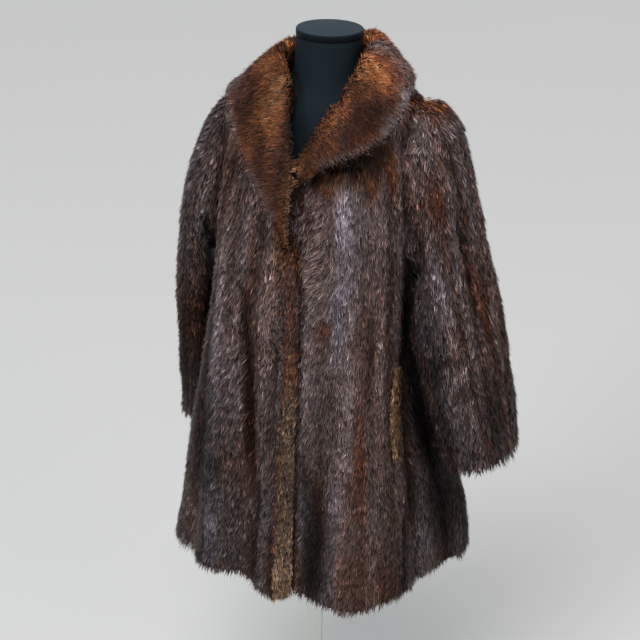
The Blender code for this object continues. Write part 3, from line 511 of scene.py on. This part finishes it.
furs["collar"] = {
    "slot": "collar_fur", "flat": (0.9, 0.17), "area": 0.108, "seed": 6, "hairs": 72000,
    "length": 0.015, "width": 0.0012, "back": 0.8, "vary": 0.26, "warm": 0.69, "tone": 0.52,
    "fade": 0.0, "lean": 0, "depth": 0.007, "wild": 0.1, "lift": 0.0012, "strips": 0,
    "reach": 0.001,
    "skin": 0.0032, "pull": 0.03,  # how deep the skin lies, and how near the free edge hair turns to it
    "short": (0.45, 0.035), "dip": (0.0022, 0.008),  # at the neck seam hair is shorter and lies lower
    "strayed": 5, "clipped": 0.3,  # hair that passes so many stretches of the seam is cut back
    "cool": (0.28, 0.009), "light": (1.0, 0.012),  # at the free edge
    "rear": (95, 12), "facing": (0.55, 0.25), "plain": 0.9,  # where the fall is plain, and how much
    "dents": [(96, 1.378, 14, 0.014, -0.006)],
    "creases": [(95, 75, 0.02, 0.06, 42, 0.0055), (132, 128, 0.045, 0.085, 16, 0.0055)],
    # the collar's own ginger and purple-grey tones, with painted light where the roll lies in shade (the
    # rows lightened 3 to 4 times) and painted shadow at the right lapel's foot (turn -4)
    "patches": [
        (-33, 0.026, 10, 0.018, 0.16, 1.1), (-17, 0.026, 8, 0.022, -0.08, -0.3),
        (-72, 0.042, 18, 0.02, 0.14, 1.4), (-50, 0.064, 9, 0.018, -0.03, -0.45),
        (-30, 0.045, 8, 0.016, -0.04, -0.35), (-80, 0.074, 16, 0.024, -0.36, 0.3),
        (66, 0.036, 18, 0.018, 0.2, 2.2), (44, 0.034, 9, 0.012, 0.16, 1.3), (22, 0.028, 9, 0.01, 0.1, 1.3),
        (10, 0.02, 8, 0.01, 0.1, 0.6), (38, 0.06, 6, 0.012, -0.07, -0.65),
        (24, 0.05, 8, 0.01, -0.02, -0.35), (74, 0.07, 20, 0.024, -0.4, 0.9),
        (48, 0.082, 8, 0.012, -0.25, 0.3), (-3, 0.022, 6, 0.01, 0.1, 0.4),
        (-10, 0.002, 8, 0.005, -0.1, -0.5), (-11, 0.01, 1.6, 0.005, 0.2, 1.3),
        (-17, 0.011, 4, 0.005, 0, -0.5), (133, 0.042, 14, 0.012, 0.1, 4), (100, 0.066, 16, 0.014, 0, 0.6),
        (106, 0.056, 11, 0.014, 0.05, 4), (33, 0.046, 6, 0.008, 0, -0.5), (27, 0.039, 5, 0.006, 0, -0.35),
        (51, 0.041, 5, 0.005, 0, -0.3), (54, 0.05, 5, 0.006, 0.08, 0.8), (29, 0.03, 5, 0.006, 0, 0.6),
        (5, 0.015, 4, 0.005, 0, 0.7), (-58, 0.058, 5, 0.01, 0.02, -0.5), (-37, 0.05, 5, 0.01, 0, -0.35),
        (-20, 0.017, 4, 0.006, 0.05, -0.25), (-57, 0.042, 6, 0.008, 0, 0.35), (-38, 0.003, 14, 0.007, 0, 1),
        (138, 0.057, 12, 0.01, 0.12, 1.2), (77, 0.047, 9, 0.009, -0.15, 0.1),
        (92, 0.052, 8, 0.008, -0.06, 0.5), (160, 0.05, 14, 0.02, 0.1, 0.4),
        (-150, 0.06, 14, 0.02, -0.12, -0.3), (-110, 0.05, 14, 0.02, 0.1, 0.4),
        (-114, 0.043, 10, 0.012, 0.05, 3), (-4, 0.021, 5, 0.005, 0, -0.88),
    ],
    # painted shadow: here the hair stops short of the free edge, so the dark pelt shows as the shadow under
    # the lapel
    "hems": [(28, 22, -0.0055)],
}
furs["band_right"] = {
    "slot": "edge_fur", "flat": (0.035, 0.7), "area": 0.0235, "seed": 7, "hairs": 11000,
    "length": 0.011, "warm": 1.1, "tone": 0.68, "depth": 0.0045, "strips": 0, "grey": 0.28,
    "spread": 0.0014,
    "patches": [
        (-10, 1.04, 30, 0.16, -0.5, -0.1), (-10, 0.77, 30, 0.05, 0, -0.15), (-10, 0.57, 30, 0.08, 0.1, 1.5),
        (-14.4, 0.88, 1.9, 0.12, -0.85, 0), (-13.2, 0.66, 1.9, 0.14, -0.85, 0),
    ],
}
furs["band_left"] = {
    "slot": "edge_fur", "flat": (0.035, 0.74), "area": 0.0245, "seed": 8, "hairs": 4500,
    "length": 0.011, "warm": 0.9, "tone": 0.62, "depth": 0.004, "strips": 0,
    # painted shadow under the right lapel, high on the band
    "patches": [(-8, 1.24, 25, 0.03, -0.25, -0.7), (-8, 1.18, 25, 0.05, -0.7, 0.1)],
}
furs["pocket_welt"] = {
    "slot": "edge_fur", "flat": (0.022, 0.16), "area": 0.0035, "seed": 9, "hairs": 2500,
    "length": 0.011, "warm": 0.92, "tone": 0.75, "depth": 0.003, "strips": 0, "spread": 0.0015,
    "outer": -0.3,
}
furs = {node: {**common, **fur} for node, fur in furs.items()}
body = ("front_right", "front_left", "back")  # these meet along seams, so they share their creases
bodyCreases = [crease for node in body for crease in furs[node]["creases"]]
for node in body:
    furs[node]["creases"] = bodyCreases

chartNoises = {  # degrees to a cell, cells a metre, and a step that sets each apart
    "wander": (40, 3, 40), "strong": (17, 4, 45), "streaks": (3.1, 7, 60), "clouds": (11, 4, 70),
}
solidNoises = {  # cells a metre, and the step
    "lie": (26, 10), "cloth": (np.array([55, 55, 22]), 50), "dapple": (np.array([90, 90, 45]), 80),
}
cloth = {"soft": 0.25, "strip": 0.0016, "uneven": 0.0008}  # a crease's soft ends, and two heights


def onChart(fur, title, turn, place):
    wide, cells, apart = chartNoises[title]
    return noise(np.stack([turn / wide, place * cells, turn * 0], 1), fur["seed"] + apart)


def inSpace(fur, title, points):
    cells, apart = solidNoises[title]
    return noise(points * cells, fur["seed"] + apart)


def stripsAt(fur, turn, place):  # -1 to 1 over the sewn pelts, no two alike
    wander, strong = onChart(fur, "wander", turn, place), onChart(fur, "strong", turn, place)
    return np.cos(np.radians(turn * fur["strips"]) + 4.0 * wander) * (0.55 + 0.45 * strong)


def reliefAt(fur, node, points):  # how far the cloth stands out there
    turn, place = chart(node, points)
    total = np.zeros(len(points))
    for topTurn, lowTurn, top, low, wide, deep in fur["creases"]:
        share = (place - top) / (low - top)
        off = turnOff(turn, topTurn + (lowTurn - topTurn) * np.clip(share, 0, 1))
        ends = ease(share / cloth["soft"] + 0.5), ease((1 - share) / cloth["soft"] + 0.5)
        total += fur["fold"] * deep * bump(off / wide) * ends[0] * ends[1]
    if fur["strips"]:
        total += cloth["strip"] * stripsAt(fur, turn, place)
    for dentTurn, height, wide, tall, deep in fur["dents"]:
        total += deep * bump((turn - dentTurn) / wide) * bump((points[:, 2] - height) / tall)
    total += cloth["uneven"] * inSpace(fur, "cloth", points)
    return total


def weldedMesh(node):
    made = bmesh.new()
    made.from_mesh(nodes[node].data)
    bmesh.ops.remove_doubles(made, verts=made.verts, dist=0.00002)
    return made


def facesOf(made):  # the middles and normals of the faces
    both = [(face.calc_center_median(), face.normal) for face in made.faces]
    return [np.array(each) for each in zip(*both)]


def edgesOf(corners):  # two edges of each face
    return corners[:, 1] - corners[:, 0], corners[:, 2] - corners[:, 0]


def treeOf(corners):  # to search faces, three corners to each
    return BVHTree.FromPolygons(corners, np.arange(len(corners)).reshape(-1, 3).tolist())


def atRim(node, made):  # the thin faces along an edge, with no wall behind them
    tree, found = coatTrees[node], []
    for face in made.faces:
        way = -face.normal
        spot = tree.ray_cast(face.calc_center_median() + way * 0.0002, way, 0.03)[0]
        found.append(spot is None)
    return np.array(found)


covering = {  # when a face of the collar is covered by what lies ahead
    "over": ("collar", "front_right", "front_left", "back", "band_right"),
    "start": 0.0012, "far": 0.11, "stand": 1.385, "farAtStand": 0.06,  # nearer above the stand's height
    "front": -0.06, "form": 0.025,  # in front of that the form covers too
    "rim": 0.6,  # the share of hair on its thin edge
}


def outerShare(node, made):  # 1 for a face with hair, less on the collar's thin edge, 0 inside
    places, ways = facesOf(made)
    if node == "collar":
        trees = [coatTrees[other] for other in covering["over"]]
        share = []
        for place, way, rim in zip(places, ways, atRim(node, made)):
            start = Vector(place) + Vector(way) * covering["start"]
            far = covering["farAtStand"] if place[2] > covering["stand"] else covering["far"]
            met = [tree.ray_cast(start, Vector(way), far)[0] for tree in trees]
            if place[1] < covering["front"]:
                met.append(coatTrees["form_torso"].ray_cast(start, Vector(way), covering["form"])[0])
            hidden = any(spot is not None for spot in met)
            share.append(0.0 if hidden else covering["rim"] if rim else 1.0)
        return np.array(share)
    if node in sleeveAxes:
        top, down, front, side = sleeveFrame(node)
        off = places - top
        away = unit(off - np.outer(off @ down, down))
    else:
        away = outwards(places)
    return (dots(ways, away)[:, 0] > furs[node]["outer"]).astype(float)


def surfaceOf(node):  # the outer faces: their corners, smooth normals there and shares
    made = weldedMesh(node)
    share = outerShare(node, made)
    corners = np.array([[list(v.co) for v in face.verts] for face in made.faces])
    numbers = np.array([[v.index for v in face.verts] for face in made.faces])
    flats = np.cross(*edgesOf(corners))
    smooth = np.zeros((len(made.verts), 3))
    for k in range(3):
        np.add.at(smooth, numbers[:, k], flats * (share > 0)[:, None])
    made.free()
    keep = share > 0
    return {"corners": corners[keep], "normals": unit(smooth[numbers[keep]]), "share": share[keep]}


freeEdge = {"down": 0.4, "below": 1.378, "low": 1.30, "off": (0.012, 0.030)}  # "off" the seam, low and high


def rimOf(node):  # the lower or free edge, to measure from
    made = weldedMesh(node)
    places, ways = facesOf(made)
    edge = atRim(node, made) & (dots(ways, unit(flowAt(node, places)))[:, 0] > freeEdge["down"])
    if node == "collar":  # the free edge only, not the roll
        least = np.where(places[:, 2] < freeEdge["low"], *freeEdge["off"])
        edge &= (np.linalg.norm(fromSeam(places), axis=1) > least) & (places[:, 2] < freeEdge["below"])
    keep = [face for face, ends in zip(made.faces, edge) if ends]
    corners = [tuple(vert.co) for face in keep for vert in face.verts]
    made.free()
    return treeOf(corners)


evenStrides = (0.7548776662, 0.5698402910)  # these scatter spots evenly


def pickSpots(surface, count, rng):  # even random spots: faces and corner weights
    area = np.linalg.norm(np.cross(*edgesOf(surface["corners"])), axis=1) * surface["share"]
    reach = np.cumsum(area)
    face = np.searchsorted(reach, (np.arange(count) + rng.random(count)) / count * reach[-1])
    face = np.minimum(face, len(area) - 1)
    step = np.arange(count)
    one, two = [(0.5 + step * stride) % 1 for stride in evenStrides]
    over = one + two > 1
    one, two = np.where(over, 1 - one, one), np.where(over, 1 - two, two)
    return face, np.stack([1 - one - two, one, two], 1)


def between(values, weights):  # the mean of each face's three corner values
    return np.einsum("nk,nkc->nc", weights, values)


def dropTo(tree, surface, points):  # the nearest spots, and the normals there
    face = np.zeros(len(points), int)
    spots = np.zeros_like(points)
    for i, point in enumerate(points):
        spot, _, number, _ = tree.find_nearest(point)
        face[i], spots[i] = number, spot
    corners = surface["corners"][face]
    a, b = edgesOf(corners)
    off = spots - corners[:, 0]
    pairs = (a, a), (a, b), (b, b), (off, a), (off, b)
    aa, ab, bb, offA, offB = [dots(*pair)[:, 0] for pair in pairs]
    scale = np.maximum(aa * bb - ab * ab, 1e-18)
    two, three = (bb * offA - ab * offB) / scale, (aa * offB - ab * offA) / scale
    weights = np.clip(np.stack([1 - two - three, two, three], 1), 0, 1)
    weights /= weights.sum(1, keepdims=True)
    return spots, unit(between(surface["normals"][face], weights))


def turned(ways, normals, degrees):  # ways turned in the surface
    angle = np.radians(degrees)[:, None]
    return ways * np.cos(angle) + np.cross(normals, ways) * np.sin(angle)


shade = {
    "stripWarm": 0.07, "stripTone": 0.30,  # by the sewn strips
    "hollowWarm": 14, "hollow": (-0.004, 0.009),  # warmer in a crease, for each metre of its depth, as painted shade
    "reliefShadeTone": 85, "ridge": (-0.0095, 0.004),  # painted light on a ridge and painted shade in a crease
    "middle": 1.05,  # the height at which the fade's painted shade is nothing
    "cloudWarm": 0.10, "streakTone": 0.16, "dappleTone": 0.14,
}


def coloursAt(fur, node, points, normals, rim, high):  # warmth and tone of the fur there
    turn, place = chart(node, points)
    warm = np.full(len(points), fur["warm"])
    tone = np.ones(len(points))
    shown = np.ones(len(points))
    if node == "collar":  # the fall behind the shoulders stays plain
        facing = dots(normals, outwards(points))[:, 0]
        behind = ease((np.abs(turn) - fur["rear"][0]) / fur["rear"][1])
        shown -= fur["plain"] * behind * ease((facing - fur["facing"][0]) / fur["facing"][1])
    # the patches paint the pelts' own tone and also light and shade: painted shadow under the collar and
    # beside the sleeves, painted light on lit parts
    for patchTurn, patchPlace, wide, tall, warmer, lighter in fur["patches"]:
        inside = shown * bump(turnOff(turn, patchTurn) / wide) * bump((place - patchPlace) / tall)
        warm += inside * warmer
        tone *= 1 + inside * lighter
    if fur["strips"]:
        wave = stripsAt(fur, turn, place)
        warm -= shade["stripWarm"] * wave
        tone *= 1 + shade["stripTone"] * wave
    if node == "collar":
        warm -= fur["cool"][0] * bump(rim / fur["cool"][1])
        tone *= 1 + fur["light"][0] * bump(rim / fur["light"][1])
    # painted shade and light from the relief: creases darker and warmer, ridges lighter
    warm += shade["hollowWarm"] * np.clip(-high, *shade["hollow"])
    ridge = 1 + shade["reliefShadeTone"] * np.clip(high, *shade["ridge"])
    # painted shade: darker lower down, as less light reaches there
    tone *= ridge * (1 + fur["fade"] * (points[:, 2] - shade["middle"])) * fur["tone"]
    streaks, clouds = onChart(fur, "streaks", turn, place), onChart(fur, "clouds", turn, place)
    dapple = inSpace(fur, "dapple", points)
    warm += shade["cloudWarm"] * streaks + shade["cloudWarm"] * clouds
    tone *= 1 + shade["streakTone"] * streaks + shade["dappleTone"] * dapple
    return warm, tone


def hairMesh(name, roots, middles, tips, sides, normals, widths, numbers):  # two triangles to a hair
    count = len(roots)
    points = np.stack([roots, middles + sides * widths, middles - sides * widths, tips], 1).reshape(-1, 3)
    first = np.arange(count) * 4
    faces = np.stack([first, first + 1, first + 2, first + 2, first + 1, first + 3], 1).reshape(-1)
    mesh = bpy.data.meshes.new(name)
    mesh.vertices.add(count * 4)
    mesh.vertices.foreach_set("co", points.astype(np.float32).ravel())
    mesh.loops.add(count * 6)
    mesh.loops.foreach_set("vertex_index", faces.astype(np.int32))
    mesh.polygons.add(count * 2)
    mesh.polygons.foreach_set("loop_start", np.arange(0, count * 6, 3, dtype=np.int32))
    mesh.polygons.foreach_set("use_smooth", np.ones(count * 2, bool))
    for title, values in numbers.items():
        carried = mesh.attributes.new(title, "FLOAT", "POINT")
        carried.data.foreach_set("value", values.astype(np.float32).ravel())
    columns = math.ceil(math.sqrt(count))
    cell = np.stack([np.arange(count) % columns, np.arange(count) // columns], 1)[:, None, :]
    low, left, right, high = (0.5, 0.06), (0.06, 0.42), (0.94, 0.42), (0.5, 0.94)
    kite = np.array([low, right, left, left, right, high])[None]  # each hair has its own cell of the map
    spread = ((cell + kite) / columns).astype(np.float32)
    mesh.uv_layers.new(name="OFBake").data.foreach_set("uv", spread.ravel())
    mesh.validate()
    mesh.update()
    lean = np.array([0, 0.5, -0.5, 0])[None, :, None]  # rounds the flat hair's shading
    soft = unit(normals[:, None] + sides[:, None] * lean).reshape(-1, 3)
    mesh.normals_split_custom_set_from_vertices(soft.tolist())
    return putInScene(name, mesh, "plush" if name == "hair_collar" else "fur")


grow = {
    "sway": 14, "turn": 9,  # degrees, over the piece and from tuft to tuft
    "uneven": 0.18,  # in length
    "paintedGlints": 0.12, "paintedGlintGain": 1.9,  # painted glints: the share of tufts painted lighter as if they caught the light, and how much lighter
    "tuftWarm": 0.05, "hairWarm": 0.035, "hairTone": 1.15, "cool": 0.25,
    "rim": 0.011, "hem": 0.018, "past": (0.2, 1.4),  # near an edge the hair passes it
    "longer": [(0.1, 0.35), (-0.25, 0.08)], "rise": [(0.001, 0.004), (-0.0022, 0.0006)],  # astray, and not
    "thin": 0.6,  # a hair astray is so much thinner
    "together": 0.5, "apart": 0.8,  # a tuft's tips draw together, less so at an edge
    "bow": (0.0004, 0.0016), "kink": 0.0006, "middle": 0.48, "twist": 0.35, "glint": 0.26,
    "wide": (0.7, 1.3), "along": (0.0, 0.55, 0.55, 1.0), "step": 0.002,
}


def growHair(node):
    fur, surface = furs[node], surfaces[node]
    rng = np.random.default_rng(fur["seed"])
    bell = rng.standard_normal  # random values, mostly from -1 to 1
    tree = treeOf(surface["corners"].reshape(-1, 3).tolist())
    tufts = fur["hairs"] // fur["tuft"]
    face, weights = pickSpots(surface, tufts, rng)
    tip = between(surface["corners"][face], weights)
    tipUp = unit(between(surface["normals"][face], weights))
    turn, place = chart(node, tip)
    sway = inSpace(fur, "lie", tip)
    degrees = fur["lean"] + grow["sway"] * sway + grow["turn"] * bell(tufts)
    for leanTurn, leanPlace, wide, tall, lean in fur["leans"]:
        degrees += lean * bump(turnOff(turn, leanTurn) / wide) * bump((place - leanPlace) / tall)
    flow, met = flowAt(node, tip), [rims[node].find_nearest(point) for point in tip]
    rim = np.array([found[3] for found in met])
    if node == "collar":
        toRim = bump(rim / fur["pull"])[:, None] * unit(np.array([found[0] for found in met]) - tip)
        flow = np.cross(tipUp, alongSeam(tip)) + toRim + np.array([0, 0, -0.1])
    flow = turned(unit(flow - tipUp * dots(flow, tipUp)), tipUp, degrees)
    length = fur["length"] * (1 + grow["uneven"] * bell(tufts))[:, None]
    if node == "collar":  # shorter towards the neck seam
        least, over = fur["short"]
        length *= np.clip(least + place / over, 0, 1)[:, None]
    root, rootUp = dropTo(tree, surface, tip - flow * length * fur["back"])
    if node == "collar":  # none reaches from one lapel to the other
        strayed = np.abs(seamPart(root) - seamPart(tip)) > fur["strayed"]
        length[strayed] *= fur["clipped"]
        root, rootUp = dropTo(tree, surface, tip - flow * length * fur["back"])
    side = unit(np.cross(flow, tipUp))
    high = reliefAt(fur, node, tip)[:, None]
    if node == "collar":
        high -= fur["dip"][0] * bump(place / fur["dip"][1])[:, None]
    step = grow["step"]
    slopeSide = (reliefAt(fur, node, tip + side * step)[:, None] - high) / step
    slopeFlow = (reliefAt(fur, node, tip + flow * step)[:, None] - high) / step
    up = unit(tipUp - side * slopeSide - flow * slopeFlow)
    warm, tone = coloursAt(fur, node, tip, tipUp, rim, high[:, 0])
    tone = tone * np.exp(fur["vary"] * bell(tufts))
    # painted glints: some tufts are painted lighter, standing in for light caught by the hair
    paintedGlints = rng.random(tufts) < grow["paintedGlints"]
    tone = np.where(paintedGlints, tone * (1 + grow["paintedGlintGain"] * fur["vary"]), tone)
    warm = warm + grow["tuftWarm"] * bell(tufts)
    lift = fur["lift"] * bell((tufts, 1))

    def each(values):  # one tuft's value for each of its hairs
        return np.repeat(values, fur["tuft"], axis=0)

    count = tufts * fur["tuft"]

    def spread(ends):  # an even random value for each hair
        return rng.uniform(*ends, (count, 1))

    drift = bell((count, 2)) * fur["spread"]
    reach = fur["reach"] * bump(rim / grow["rim"])
    for hemTurn, wide, further in fur["hems"]:
        reach += further * bump((turn - hemTurn) / wide) * bump(rim / grow["hem"])
    over = each(reach[:, None]) * spread(grow["past"])
    wild = rng.random((count, 1)) < fur["wild"]
    stretch = np.where(wild, *[spread(ends) for ends in grow["longer"]])
    rise = np.where(wild, *[spread(ends) for ends in grow["rise"]])
    sideNow, flowNow, upNow = each(side), each(flow), each(up)
    sunk = root + rootUp * (reliefAt(fur, node, root)[:, None] - fur["depth"])
    roots = each(sunk) + sideNow * drift[:, :1] + flowNow * drift[:, 1:]
    apart = each(grow["together"] + grow["apart"] * bump(rim / grow["hem"]))[:, None]
    ahead = drift[:, 1:] * 0.5 + stretch * each(length) + over
    tips = each(tip + tipUp * (high + lift)) + sideNow * drift[:, :1] * apart
    tips = tips + flowNow * ahead + each(tipUp) * rise
    bow = spread(grow["bow"])
    middles = roots * (1 - grow["middle"]) + tips * grow["middle"] + each(tipUp) * bow
    middles = middles + sideNow * bell((count, 1)) * grow["kink"]
    way = unit(tips - roots)
    twist = grow["twist"] * sideNow * bell((count, 1))
    across = unit(np.cross(way, upNow + twist))
    halves = fur["width"] / 2 * spread(grow["wide"]) * np.where(wild, grow["thin"], 1)
    shading = unit(upNow + grow["glint"] * bell((count, 3)))
    varied = np.exp(grow["hairTone"] * fur["vary"] * bell((count, 1)))
    corners = len(grow["along"])
    cool = rng.random(count) < fur["grey"]
    warms = np.where(cool, grow["cool"], each(warm) + grow["hairWarm"] * bell(count))
    tones = each(tone)[:, None] * varied * np.ones(corners)
    numbers = {"along": np.tile(grow["along"], count), "tone": tones, "warm": np.repeat(warms, corners)}
    return hairMesh("hair_" + node, roots, middles, tips, across, shading, halves, numbers)


narrow = ("band_right", "band_left", "pocket_welt")
skin = {"over": 0.0008, "edge": 0.6, "lift": 0.008}  # over the roots, what counts as an edge, and its lift


def cutPelt(node):  # the skin under the hair, with the same creases
    fur = furs[node]
    made = weldedMesh(node)
    if node not in narrow:
        bmesh.ops.subdivide_edges(made, edges=made.edges[:], cuts=1, use_grid_fill=True)
        bmesh.ops.triangulate(made, faces=made.faces[:])
    made.normal_update()
    share = outerShare(node, made)
    outside = np.zeros((len(made.verts), 3))
    inside = np.zeros((len(made.verts), 3))
    below = np.zeros(len(made.verts), bool)
    made.verts.index_update()
    flows = unit(flowAt(node, facesOf(made)[0]))
    for face, part, flow in zip(made.faces, share, flows):
        way = np.array(face.normal) * face.calc_area()
        for vert in face.verts:
            if part > 0:
                outside[vert.index] += way
            elif np.dot(face.normal, flow) < skin["edge"]:
                inside[vert.index] += way
            elif node != "collar":
                below[vert.index] = True
    hasOuter = np.linalg.norm(outside, axis=1) > 1e-12
    away = np.where(hasOuter[:, None], unit(outside), -unit(inside))
    points = np.array([list(vert.co) for vert in made.verts])
    high = reliefAt(fur, node, points)[:, None]
    deep = fur.get("skin", fur["depth"] - skin["over"])
    sink = deep * hasOuter[:, None]
    flow = unit(flowAt(node, points))
    moved = points + away * (high - sink) - flow * (skin["lift"] * below[:, None])
    for vert, point in zip(made.verts, moved):
        vert.co = point
    for face, part in zip(made.faces, share):
        face.material_index = 0 if part > 0 or node == "collar" else 1
        face.smooth = True
    return finished("pelt_" + node, made, "pelt", "inside")


coatTrees = {}
for node in [*furs, "form_torso"]:
    made = weldedMesh(node)
    coatTrees[node] = BVHTree.FromBMesh(made)
    made.free()
surfaces = {node: surfaceOf(node) for node in furs}
rims = {node: rimOf(node) for node in furs}
for node, fur in furs.items():
    pelt, hair = cutPelt(node), growHair(node)
    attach(pelt, "root")
    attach(hair, "root")
    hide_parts(node)
    print(node, "grown:", fur["hairs"], "hairs")


# the dress form and its stand

joined = {"angle_face_threshold": 0.6, "angle_shape_threshold": 0.7}  # which triangles make a square
crispFrom = 0.8  # the angle in radians that stays a crisp edge


def smoothForm():
    made = weldedMesh("form_torso")
    bmesh.ops.join_triangles(made, faces=made.faces[:], **joined)
    crisp = made.edges.layers.float.new("crease_edge")
    for edge in made.edges:
        if len(edge.link_faces) == 2 and edge.calc_face_angle() > crispFrom:
            edge[crisp] = 1.0
            edge.smooth = False
    form = finished("jersey_form", made, "jersey")
    modifier = form.modifiers.new("smooth", "SUBSURF")
    modifier.levels = modifier.render_levels = 1
    for face in form.data.polygons:
        face.use_smooth = True
    return form


def lathe(name, profile, steps, look):  # profile: radius and height, from the top down
    made = bmesh.new()
    rings = []
    for radius, height in profile:
        ring = []
        for i in range(steps if radius else 1):
            angle = 2 * math.pi * i / steps
            ring.append(made.verts.new((radius * math.cos(angle), radius * math.sin(angle), height)))
        rings.append(ring)
    for upper, lower in zip(rings, rings[1:]):
        for i in range(steps):
            j = (i + 1) % steps
            corners = [upper[i % len(upper)], lower[i % len(lower)]]
            corners += [lower[j % len(lower)], upper[j % len(upper)]]
            made.faces.new(list(dict.fromkeys(corners)))
    bmesh.ops.recalc_face_normals(made, faces=made.faces)
    piece = finished(name, made, look)
    piece.data.shade_smooth()
    piece.data.set_sharp_from_angle(angle=math.radians(35))
    return piece


def rounded(radius, height, bevel, outward=True, steps=5):  # a rounded corner's points, from the top down
    points = []
    for i in range(steps + 1):
        angle = math.pi / 2 * i / steps
        sine, cosine = bevel * math.sin(angle), bevel * math.cos(angle)
        if outward:
            points.append((radius - bevel + sine, height - bevel + cosine))
        else:
            points.append((radius - bevel + cosine, height + bevel - sine))
    return points


stand = {
    "capBevel": 0.003, "capFootBevel": 0.0015, "capSteps": 96,
    "poleBevel": 0.001, "poleGap": 0.0003, "poleSteps": 64,
    "plateHigh": 0.012, "plateBevel": 0.003, "plateSteps": 128,
    "ferrule": 0.030, "ferruleBevel": 0.002, "ferruleDeep": 0.001,
}
capRadius, capLow, capHigh = sizeOf("form_cap")
poleRadius, poleLow, poleHigh = sizeOf("stand_pole")
footRadius, _, footHigh = sizeOf("stand_foot")
plateHigh, socket = stand["plateHigh"], poleRadius + stand["poleGap"]

form = smoothForm()
capProfile = [(0, capHigh)] + rounded(capRadius, capHigh, stand["capBevel"])
capProfile += rounded(capRadius, capLow, stand["capFootBevel"], outward=False) + [(0, capLow)]
poleProfile = [(0, poleHigh)] + rounded(poleRadius, poleHigh, stand["poleBevel"], steps=2)
poleProfile += rounded(poleRadius, poleLow, stand["poleBevel"], outward=False, steps=2) + [(0, poleLow)]
footProfile = [(socket, plateHigh + stand["ferruleDeep"]), (socket, footHigh)]
footProfile += rounded(stand["ferrule"], footHigh, stand["ferruleBevel"]) + [(stand["ferrule"], plateHigh)]
footProfile += rounded(footRadius, plateHigh, stand["plateBevel"]) + [(footRadius, 0), (0, 0)]
cap = lathe("neck_cap", capProfile, stand["capSteps"], "cap")
pole = lathe("pole_tube", poleProfile, stand["poleSteps"], "chrome")
foot = lathe("round_base", footProfile, stand["plateSteps"], "steel")
for piece, node, slot in ((form, "form_torso", "form_jersey"), (cap, "form_cap", "cap_plastic"),
                          (pole, "stand_pole", "stand_chrome"), (foot, "stand_foot", "stand_steel")):
    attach(piece, "root")
    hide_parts(node)
print("form and stand made")


# floor, light and camera

studio = {
    "sky": (0.93, 0.96, 1.0), "skyStrength": 0.46,
    "sun": 1.72, "sunAngle": 30, "sunTilt": (30, -4, 0), "sunColour": (1.0, 0.99, 0.97),
}
# painted light: the floor's colour grows lighter across it, standing in for the lamps' falloff
floorLook = {
    "colours": [(0.0, (0.545, 0.55, 0.54)), (1.0, (0.66, 0.66, 0.645))],
    "size": 60, "place": (0, 12, -0.0005), "across": 0.03, "cloud": 0.7, "uneven": 0.1, "middle": 0.45,
}
softBoxes = {
    "key": {"place": (-3.0, -4.8, 4.0), "size": 2.2, "power": 190, "colour": (0.93, 0.96, 1.0)},
    "fill": {"place": (4.4, -3.2, 3.0), "size": 2.6, "power": 60, "colour": (1.0, 0.94, 0.88)},
}
view = {
    "place": (0.3129, -1.9754, 1.9487), "yaw": 9.0, "pitch": 26.115, "roll": 1.5,
    "lens": 76.78, "sensor": 36, "shift": (-0.00364, -0.00016),
}

floorFinish = Finish("studio_floor", Roughness=0.85)
# painted light on the floor: lighter towards +x for the lamps' falloff, with soft clouds varying it
across = floorFinish.add("ShaderNodeSeparateXYZ", None, {0: floorFinish.place()})
cloud = floorFinish.grain(floorLook["cloud"], 1.0)
share = across * floorLook["across"] + cloud * floorLook["uneven"] + floorLook["middle"]
floorFinish.feed("Base Color", floorFinish.ramp(share, floorLook["colours"]))
bpy.ops.mesh.primitive_plane_add(size=floorLook["size"], location=floorLook["place"])
floor = bpy.context.object
floor.name = "studio_floor"
floor.data.materials.append(floorFinish.material)

world = bpy.data.worlds.new("studio")
bpy.context.scene.world = world
world.use_nodes = True
sky = world.node_tree.nodes["Background"].inputs
sky[0].default_value = (*studio["sky"], 1)
sky[1].default_value = studio["skyStrength"]
sun = bpy.data.lights.new("ceiling", "SUN")
sun.energy, sun.angle, sun.color = studio["sun"], math.radians(studio["sunAngle"]), studio["sunColour"]
putInScene("ceiling", sun).rotation_euler = [math.radians(tilt) for tilt in studio["sunTilt"]]
for name, box in softBoxes.items():
    light = bpy.data.lights.new(name, "AREA")
    light.shape, light.size, light.energy, light.color = "DISK", box["size"], box["power"], box["colour"]
    lamp = putInScene(name, light)
    lamp.location = box["place"]
    lamp.rotation_euler = (Vector((0, 0, 1.0)) - Vector(box["place"])).to_track_quat("-Z", "Y").to_euler()
bpy.context.scene.view_settings.view_transform = "Standard"

camera = bpy.data.cameras.new("camera")
camera.lens, camera.sensor_width = view["lens"], view["sensor"]
camera.shift_x, camera.shift_y = view["shift"]
shooter = putInScene("camera", camera)
turns = (view["yaw"], "Z"), (90 - view["pitch"], "X"), (view["roll"], "Z")
yaw, pitch, roll = [Matrix.Rotation(math.radians(angle), 4, axis) for angle, axis in turns]
shooter.matrix_world = Matrix.Translation(view["place"]) @ (yaw @ pitch) @ roll
bpy.context.scene.camera = shooter
print("studio ready")
